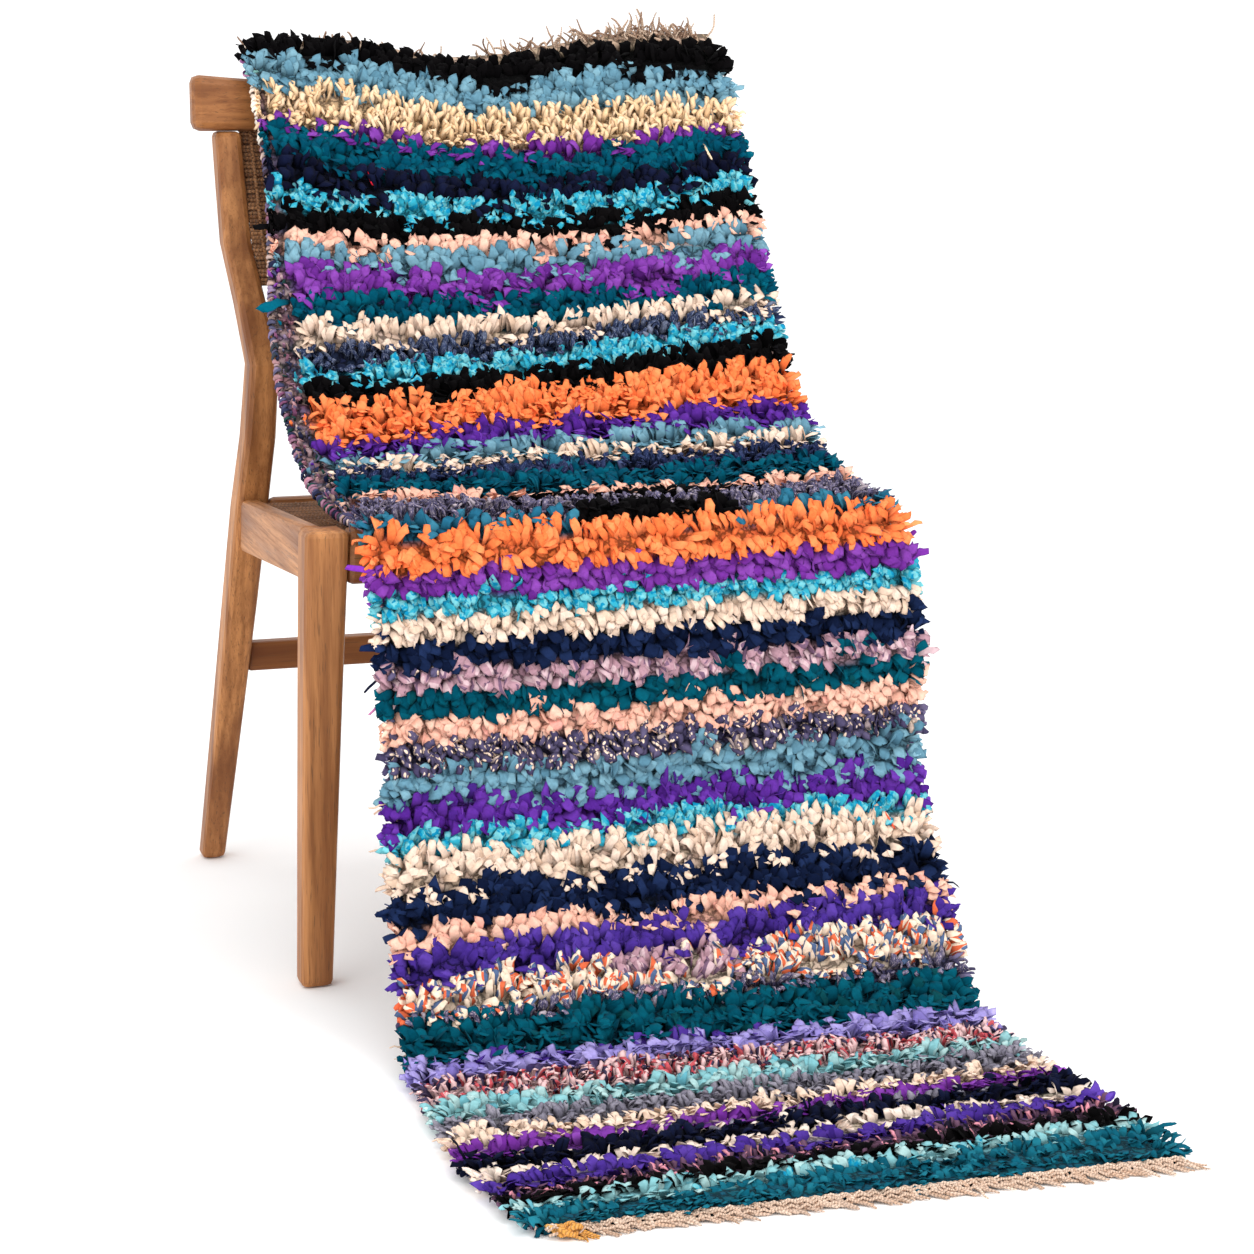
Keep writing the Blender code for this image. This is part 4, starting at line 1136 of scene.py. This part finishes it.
def wander(chance, start, way, length, joints, curl):
    """Paths of loose threads: each turns steadily to one side of its own and trembles a little."""
    count = len(length)
    step = (length / joints)[:, None]
    bend = np.cross(way, unit(chance.normal(0.0, 1.0, (count, 3)))) * curl[:, None]
    spots = [start]
    for _ in range(joints):
        spots.append(spots[-1] + way * step)
        way = unit(way + bend * step * 100 + chance.normal(0.0, 0.10, (count, 3)))
        bend = np.cross(way, np.cross(bend, way))
    return np.stack(spots, axis=1)


def add_cords(bundle, pattern, chance, paths, half, dye, taper=0.0):
    """Sweeps a round cord along each path."""
    count = len(paths)
    way = unit(np.gradient(paths, axis=1))
    lean = unit(np.array([0.31, 0.17, 0.93]))
    across = unit(np.cross(way, np.broadcast_to(lean, way.shape)))
    over = np.cross(across, way)
    t = np.linspace(0.0, 1.0, paths.shape[1])[None]
    sizes = np.broadcast_to(np.asarray(half, float).reshape(-1, 1), (count, 1)) * (1 - taper * t**2)
    bundle.add(
        pattern, paths, across, over, sizes, sizes, tint=chance.random(count),
        drift=chance.uniform(0.0, 5.0, count), dye=dye,
    )


# threads of the upper end: a part of the width, from and to, and how many stand there
UPPER_THREADS = ((0.0, 1.0, 50), (0.50, 0.98, 70), (0.80, 0.97, 60))
FLOOR_WARPS = 150
# cross cords of the floor end: how far past the cloth's end and how high over the back
CROSS_CORDS = ((0.0015, 0.0072), (0.0045, 0.0068), (0.0080, 0.0046))
THREAD = Pattern(9, 4)
SHORT_CORD = Pattern(4, 6)
END_CORD = Pattern(90, 5)
KNOT_CORD, KNOT_SHARE, KNOT_HALF = Pattern(48, 5), 0.030, 0.0060
WARP_DYES = ((228, 196, 172), (238, 210, 188), (212, 176, 150), (224, 192, 170))
GOLD_DYES = ((226, 158, 72), (238, 178, 96))
BROWN_WARPS = ((186, 152, 128), (206, 174, 148), (224, 196, 172), (160, 126, 104))


def build_upper_fringe(material):
    """Loose warp ends at the top of the flat-woven end: few and short at the left, many and long and
    curling at the right."""
    chance = np.random.default_rng(SEED + 5)
    share = np.concatenate([chance.uniform(*part) for part in UPPER_THREADS])
    count = len(share)
    length = chance.uniform(0.0, 0.006, count)
    down, right, out = RUG.ways(length, share)
    reach = chance.uniform(0.007, 0.020, count) + (share > 0.48) * chance.exponential(0.008, count)
    reach = np.minimum(reach, 0.031)
    over_pile = chance.random(count) < 0.16
    way = -down * chance.uniform(0.3, 1.0, (count, 1)) + out * chance.uniform(-0.1, 0.8, (count, 1))
    way = way + right * chance.normal(0.0, 0.55, (count, 1))
    front = out * 0.9 + down * 0.5 + right * chance.normal(0.0, 0.4, (count, 1))
    way = unit(np.where(over_pile[:, None], front, way))
    curl = np.abs(chance.normal(0.0, 1.0, count)) * np.where(over_pile, 1.2, 0.9)
    root = RUG.at(length, share, np.full(count, GROUND * 0.6))
    paths = wander(chance, root, way, reach, THREAD.joints, curl)
    paths[..., 2] = np.minimum(paths[..., 2], TOP_LIMIT)
    bundle = Bundle()
    half = chance.uniform(0.0011, 0.0018, count)
    add_cords(bundle, THREAD, chance, paths, half, pick_dyes(chance, BROWN_WARPS, count), 0.4)
    return bundle.piece("upper_fringe_threads", material, "warp_yarn", "upper_fringe")


def build_floor_fringe(material):
    """The floor end: twisted warps side by side, three cross cords over and under, tips combed to one
    side and one golden knot."""
    chance = np.random.default_rng(SEED + 6)
    bundle = Bundle()
    count = FLOOR_WARPS
    share = (np.arange(count) + 0.5 + chance.uniform(-0.25, 0.25, count)) / count
    at_end = np.full(count, RUG.length)
    down, right, out = RUG.ways(at_end, share)
    root = RUG.at(at_end - 0.003, share, np.full(count, 0.0055))
    t = np.linspace(0.0, 1.0, SHORT_CORD.joints + 1)[None, :, None]
    run = chance.uniform(0.0085, 0.0125, (count, 1, 1))
    slant = chance.uniform(0.002, 0.006, (count, 1, 1))
    hump = chance.uniform(0.0010, 0.0035, (count, 1, 1))
    paths = root[:, None] + down[:, None] * run * t + right[:, None] * slant * t
    paths = paths + out[:, None] * (hump * np.sin(math.pi * t) - 0.0034 * t**1.5)
    gold = share < 0.045
    dye = two_dyes(chance, gold, GOLD_DYES, WARP_DYES)
    add_cords(bundle, SHORT_CORD, chance, paths, chance.uniform(0.0012, 0.0017, count), dye)

    across_share = np.linspace(0.0, 1.0, END_CORD.joints + 1)
    for ahead, high in CROSS_CORDS:
        ends = np.full(len(across_share), RUG.length)
        here_down, _, here_out = RUG.ways(ends, across_share)
        wave, sway = chance.normal(0.0, 1.0, (2, len(across_share), 1))
        path = RUG.back(ends, across_share) + here_down * (ahead + 0.0009 * wave)
        over_under = np.where(np.arange(len(across_share)) % 2, 0.0012, -0.0012)[:, None]
        path = path + here_out * (high + over_under + 0.0004 * sway)
        add_cords(bundle, END_CORD, chance, path[None], [0.0011], pick_dyes(chance, WARP_DYES, 1))

    bunch = np.repeat(np.arange(1, count, 4), 5)
    count = len(bunch)
    spread = chance.uniform(-0.003, 0.003, (count, 1))
    start = paths[bunch, -2] + right[bunch] * spread
    aim = chance.normal(0.85, 0.18, len(share))[bunch] + chance.normal(0.0, 0.12, count)
    way = down[bunch] * np.cos(aim)[:, None] + right[bunch] * np.sin(aim)[:, None]
    reach = chance.uniform(0.010, 0.022, count)
    tips = wander(chance, start, unit(way), reach, THREAD.joints, np.abs(chance.normal(0.0, 0.10, count)))
    settle = np.linspace(0.0, 1.0, THREAD.joints + 1)[None] ** 0.5
    tips[..., 2] = tips[..., 2] * (1 - settle) + chance.uniform(0.0008, 0.0016, (count, 1)) * settle
    dye = two_dyes(chance, gold[bunch], GOLD_DYES, WARP_DYES)
    add_cords(bundle, THREAD, chance, tips, chance.uniform(0.0010, 0.0019, count), dye, 0.5)
    turn = np.linspace(0.0, 4 * math.pi, KNOT_CORD.joints + 1)
    at_knot = RUG.back(RUG.length, KNOT_SHARE)
    knot_down, knot_right, knot_out = RUG.ways(np.array([RUG.length]), np.array([KNOT_SHARE]))
    ring = KNOT_HALF * (1 + 0.32 * np.cos(1.5 * turn))
    knot = at_knot + knot_down * (0.009 + 0.62 * ring * np.sin(turn))[:, None]
    knot = knot + knot_right * (1.15 * ring * np.cos(turn))[:, None]
    knot = knot + knot_out * (0.0068 + 0.0030 * np.sin(1.5 * turn))[:, None]
    add_cords(bundle, KNOT_CORD, chance, knot[None], [0.0023], pick_dyes(chance, GOLD_DYES, 1))
    return bundle.piece("floor_fringe_cords", material, "warp_yarn", "floor_fringe")


# ---------------------------------------------------------------- the chair's woven cord
CORD_PITCH = 0.0085  # between two rows, each of two cords
CORD_HALF = 0.0022
BACK_SPINES, SEAT_SPINES = 20, 21  # cords that the rows pass over and under
SEAT_TOPS = (0.4425, 0.4180)  # top of the woven seat at its front and its rear edge
PAPER_CORD_DYES = ((142, 96, 60), (124, 80, 48), (156, 108, 70))
# half the woven back's width: places from its lower to its upper edge, then the half width there
PANEL_PLACES = (0.0, 0.28, 1.0)
PANEL_HALVES = (0.2344, 0.2393, 0.2395)


def weave(bundle, chance, surface, width_half, rows, spines):
    """Two cords a row, over and under upright spines, and one more that lies behind the furrow between
    two rows. surface gives xyz for x and a row's place from 0 to 1, width_half the panel's half width."""
    joints = 2 * spines
    row_cord, spine_cord = Pattern(joints, 4), Pattern(min(rows, 40), 4)
    u = np.linspace(-1.0, 1.0, joints + 1)
    paths = []
    for row in range(rows):
        for place_in_row, depth in ((0.29, 0.0), (0.71, 0.0), (1.0, 0.0026)):
            place = (row + place_in_row) / rows
            x = u * width_half(place)
            spots, out = surface(x, np.full(len(x), place))
            wave = np.where(np.arange(joints + 1) % 4 < 2, 1.0, -1.0) * (1 if row % 2 else -1)
            wave = (wave + np.roll(wave, 1)) / 2
            paths.append(spots + out * (wave * CORD_HALF * 0.22 - depth)[:, None])
    paths = np.array(paths)
    add_cords(bundle, row_cord, chance, paths, CORD_HALF, pick_dyes(chance, PAPER_CORD_DYES, len(paths)))
    places = np.linspace(0.002, 0.998, spine_cord.joints + 1)
    columns = []
    for spine in range(spines):
        side = (2 * spine + 1) / spines - 1.0
        halves = np.array([width_half(place) for place in places])
        spots, _ = surface(side * halves, places)
        columns.append(spots)
    add_cords(
        bundle, spine_cord, chance, np.array(columns), CORD_HALF * 1.15,
        pick_dyes(chance, PAPER_CORD_DYES, spines),
    )


def build_woven_back(material):
    low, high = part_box("woven_back")
    chance = np.random.default_rng(SEED + 7)
    bow = BACK_BOW / TOP_RAIL_HALF**2
    lower_front, upper_front = low.y + bow * PANEL_HALVES[0] ** 2, high.y - 0.010
    z_low, z_high = low.z + 0.0005, high.z + 0.003

    def surface(x, place):
        y = lower_front + place * (upper_front - lower_front) - bow * x**2 + 0.005
        spots = np.stack([x + CENTRE_X, y, z_low + place * (z_high - z_low)], -1)
        rake = (upper_front - lower_front) / (z_high - z_low)
        out = unit(np.stack([-2 * bow * x, np.full(len(x), -1.0), np.full(len(x), rake)], -1))
        return spots, out

    def width_half(place):
        return float(np.interp(place, PANEL_PLACES, PANEL_HALVES)) + 0.001

    bundle = Bundle()
    rows = round((z_high - z_low) / CORD_PITCH)
    weave(bundle, chance, surface, width_half, rows, BACK_SPINES)
    return bundle.piece("back_cords", material, "paper_cord", "woven_back")


def build_woven_seat(material):
    low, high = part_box("woven_seat")
    chance = np.random.default_rng(SEED + 8)
    behind_legs = 0.0225 + PLACE[1]
    between_legs, front_half, rear_half = 0.2370, 0.2535, high.x - CENTRE_X - 0.0125
    first, last = low.y + 0.002, high.y - 0.002
    front_z, rear_z = SEAT_TOPS

    def half_at(y):
        part = (y - first) / (last - first)
        wide = front_half + part * (rear_half - front_half)
        return min(wide, between_legs) if y < behind_legs else wide

    def surface(x, place):
        y = first + place * (last - first)
        sag = 0.007 * np.sin(math.pi * place)
        z = front_z + place * (rear_z - front_z) - sag - 0.0042
        out = np.tile([0.0, 0.06, 1.0], (len(x), 1))
        return np.stack([x + CENTRE_X, y, z], -1), unit(out)

    def width_half(place):
        return half_at(first + place * (last - first))

    bundle = Bundle()
    rows = round((last - first) / CORD_PITCH)
    weave(bundle, chance, surface, width_half, rows, SEAT_SPINES)
    return bundle.piece("seat_cords", material, "paper_cord", "woven_seat")


# ---------------------------------------------------------------- camera, floor and light
def build_studio():
    camera_data = bpy.data.cameras.new("camera")
    camera_data.sensor_width = 36.0
    camera_data.lens = 80.38
    camera = bpy.data.objects.new("camera", camera_data)
    camera.location = Vector((-0.8032, -2.5492, 0.8362)) + Vector(PLACE)
    camera.rotation_euler = (math.radians(79.4), 0.0, math.radians(-18.3))
    bpy.context.scene.collection.objects.link(camera)
    bpy.context.scene.camera = camera

    shape = bmesh.new()
    bmesh.ops.create_grid(shape, x_segments=2, y_segments=2, size=20.0)
    bmesh.ops.translate(shape, verts=shape.verts, vec=(0.0, 0.0, -FLOOR_CLEAR))
    mesh = bpy.data.meshes.new("floor")
    shape.to_mesh(mesh)
    shape.free()
    paper, shader = new_material("white paper", 0.9, specular=0.1)
    shader.inputs["Base Color"].default_value = (1.0, 1.0, 1.0, 1.0)
    mesh.materials.append(paper)
    floor = bpy.data.objects.new("floor", mesh)
    bpy.context.scene.collection.objects.link(floor)

    world = bpy.data.worlds.new("studio")
    world.use_nodes = True
    world.node_tree.nodes["Background"].inputs["Color"].default_value = (1.0, 1.0, 1.0, 1.0)
    world.node_tree.nodes["Background"].inputs["Strength"].default_value = 1.22
    bpy.context.scene.world = world
    bpy.context.scene.view_settings.view_transform = "Standard"
    for name, place, aim, size, power in (
        ("key light", (1.9, -2.6, 2.9), (0.0, 0.0, 0.4), 1.8, 56.0),
        ("fill light", (-2.6, -1.8, 1.6), (0.0, 0.0, 0.4), 2.4, 20.0),
        ("top light", (0.2, 0.6, 3.4), (0.0, 0.0, 0.3), 2.6, 11.0),
    ):
        lamp = bpy.data.lights.new(name, "AREA")
        lamp.shape = "SQUARE"
        lamp.size = size
        lamp.energy = power
        light = bpy.data.objects.new(name, lamp)
        light.location = place
        light.rotation_euler = (Vector(aim) - Vector(place)).to_track_quat("-Z", "Y").to_euler()
        bpy.context.scene.collection.objects.link(light)


# ---------------------------------------------------------------- putting it together
def dress_chair():
    grain = oak_group()
    uprights = oak_material("oak along the legs", grain, (0.0, 0.0, 0.0))
    quarter = math.pi / 2
    across = oak_material("oak along the rails", grain, (0.0, quarter, 0.0), (180, 120, 70), (108, 60, 28))
    deep = oak_material("oak along the side rails", grain, (quarter, 0.0, 0.0))
    for finish, names in (
        (uprights, ("front_left_leg", "front_right_leg", "rear_left_leg", "rear_right_leg")),
        (across, ("top_rail", "lower_back_rail", "front_seat_rail", "rear_seat_rail", "rear_stretcher")),
        (deep, ("left_seat_rail", "right_seat_rail")),
    ):
        for name in names:
            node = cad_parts[name]
            node.data.materials.clear()
            node.data.materials.append(finish)


def main():
    build_studio()
    dress_chair()
    cloth = rag_cloth_group()
    ground = build_ground(
        bed_material("packed rags"),
        ground_material("woven ground's back", (0.25, 0.85), 0.0),
    )
    pile = build_pile(cloth)
    mixed = mixed_rag_material("rags of the edges", cloth)
    warp = twisted_material("warp yarn", 240.0, 0.85, 0.35)
    paper = twisted_material("paper cord", 160.0, 0.7, 0.25)
    edges = [build_edge_rags(side, mixed) for side in ("left", "right")]
    edges += [build_selvedge(side, mixed) for side in ("left", "right")]
    edges += [build_stray_rags(mixed), build_upper_fringe(warp), build_floor_fringe(warp)]
    build_woven_back(paper)
    build_woven_seat(paper)
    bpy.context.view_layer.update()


main()
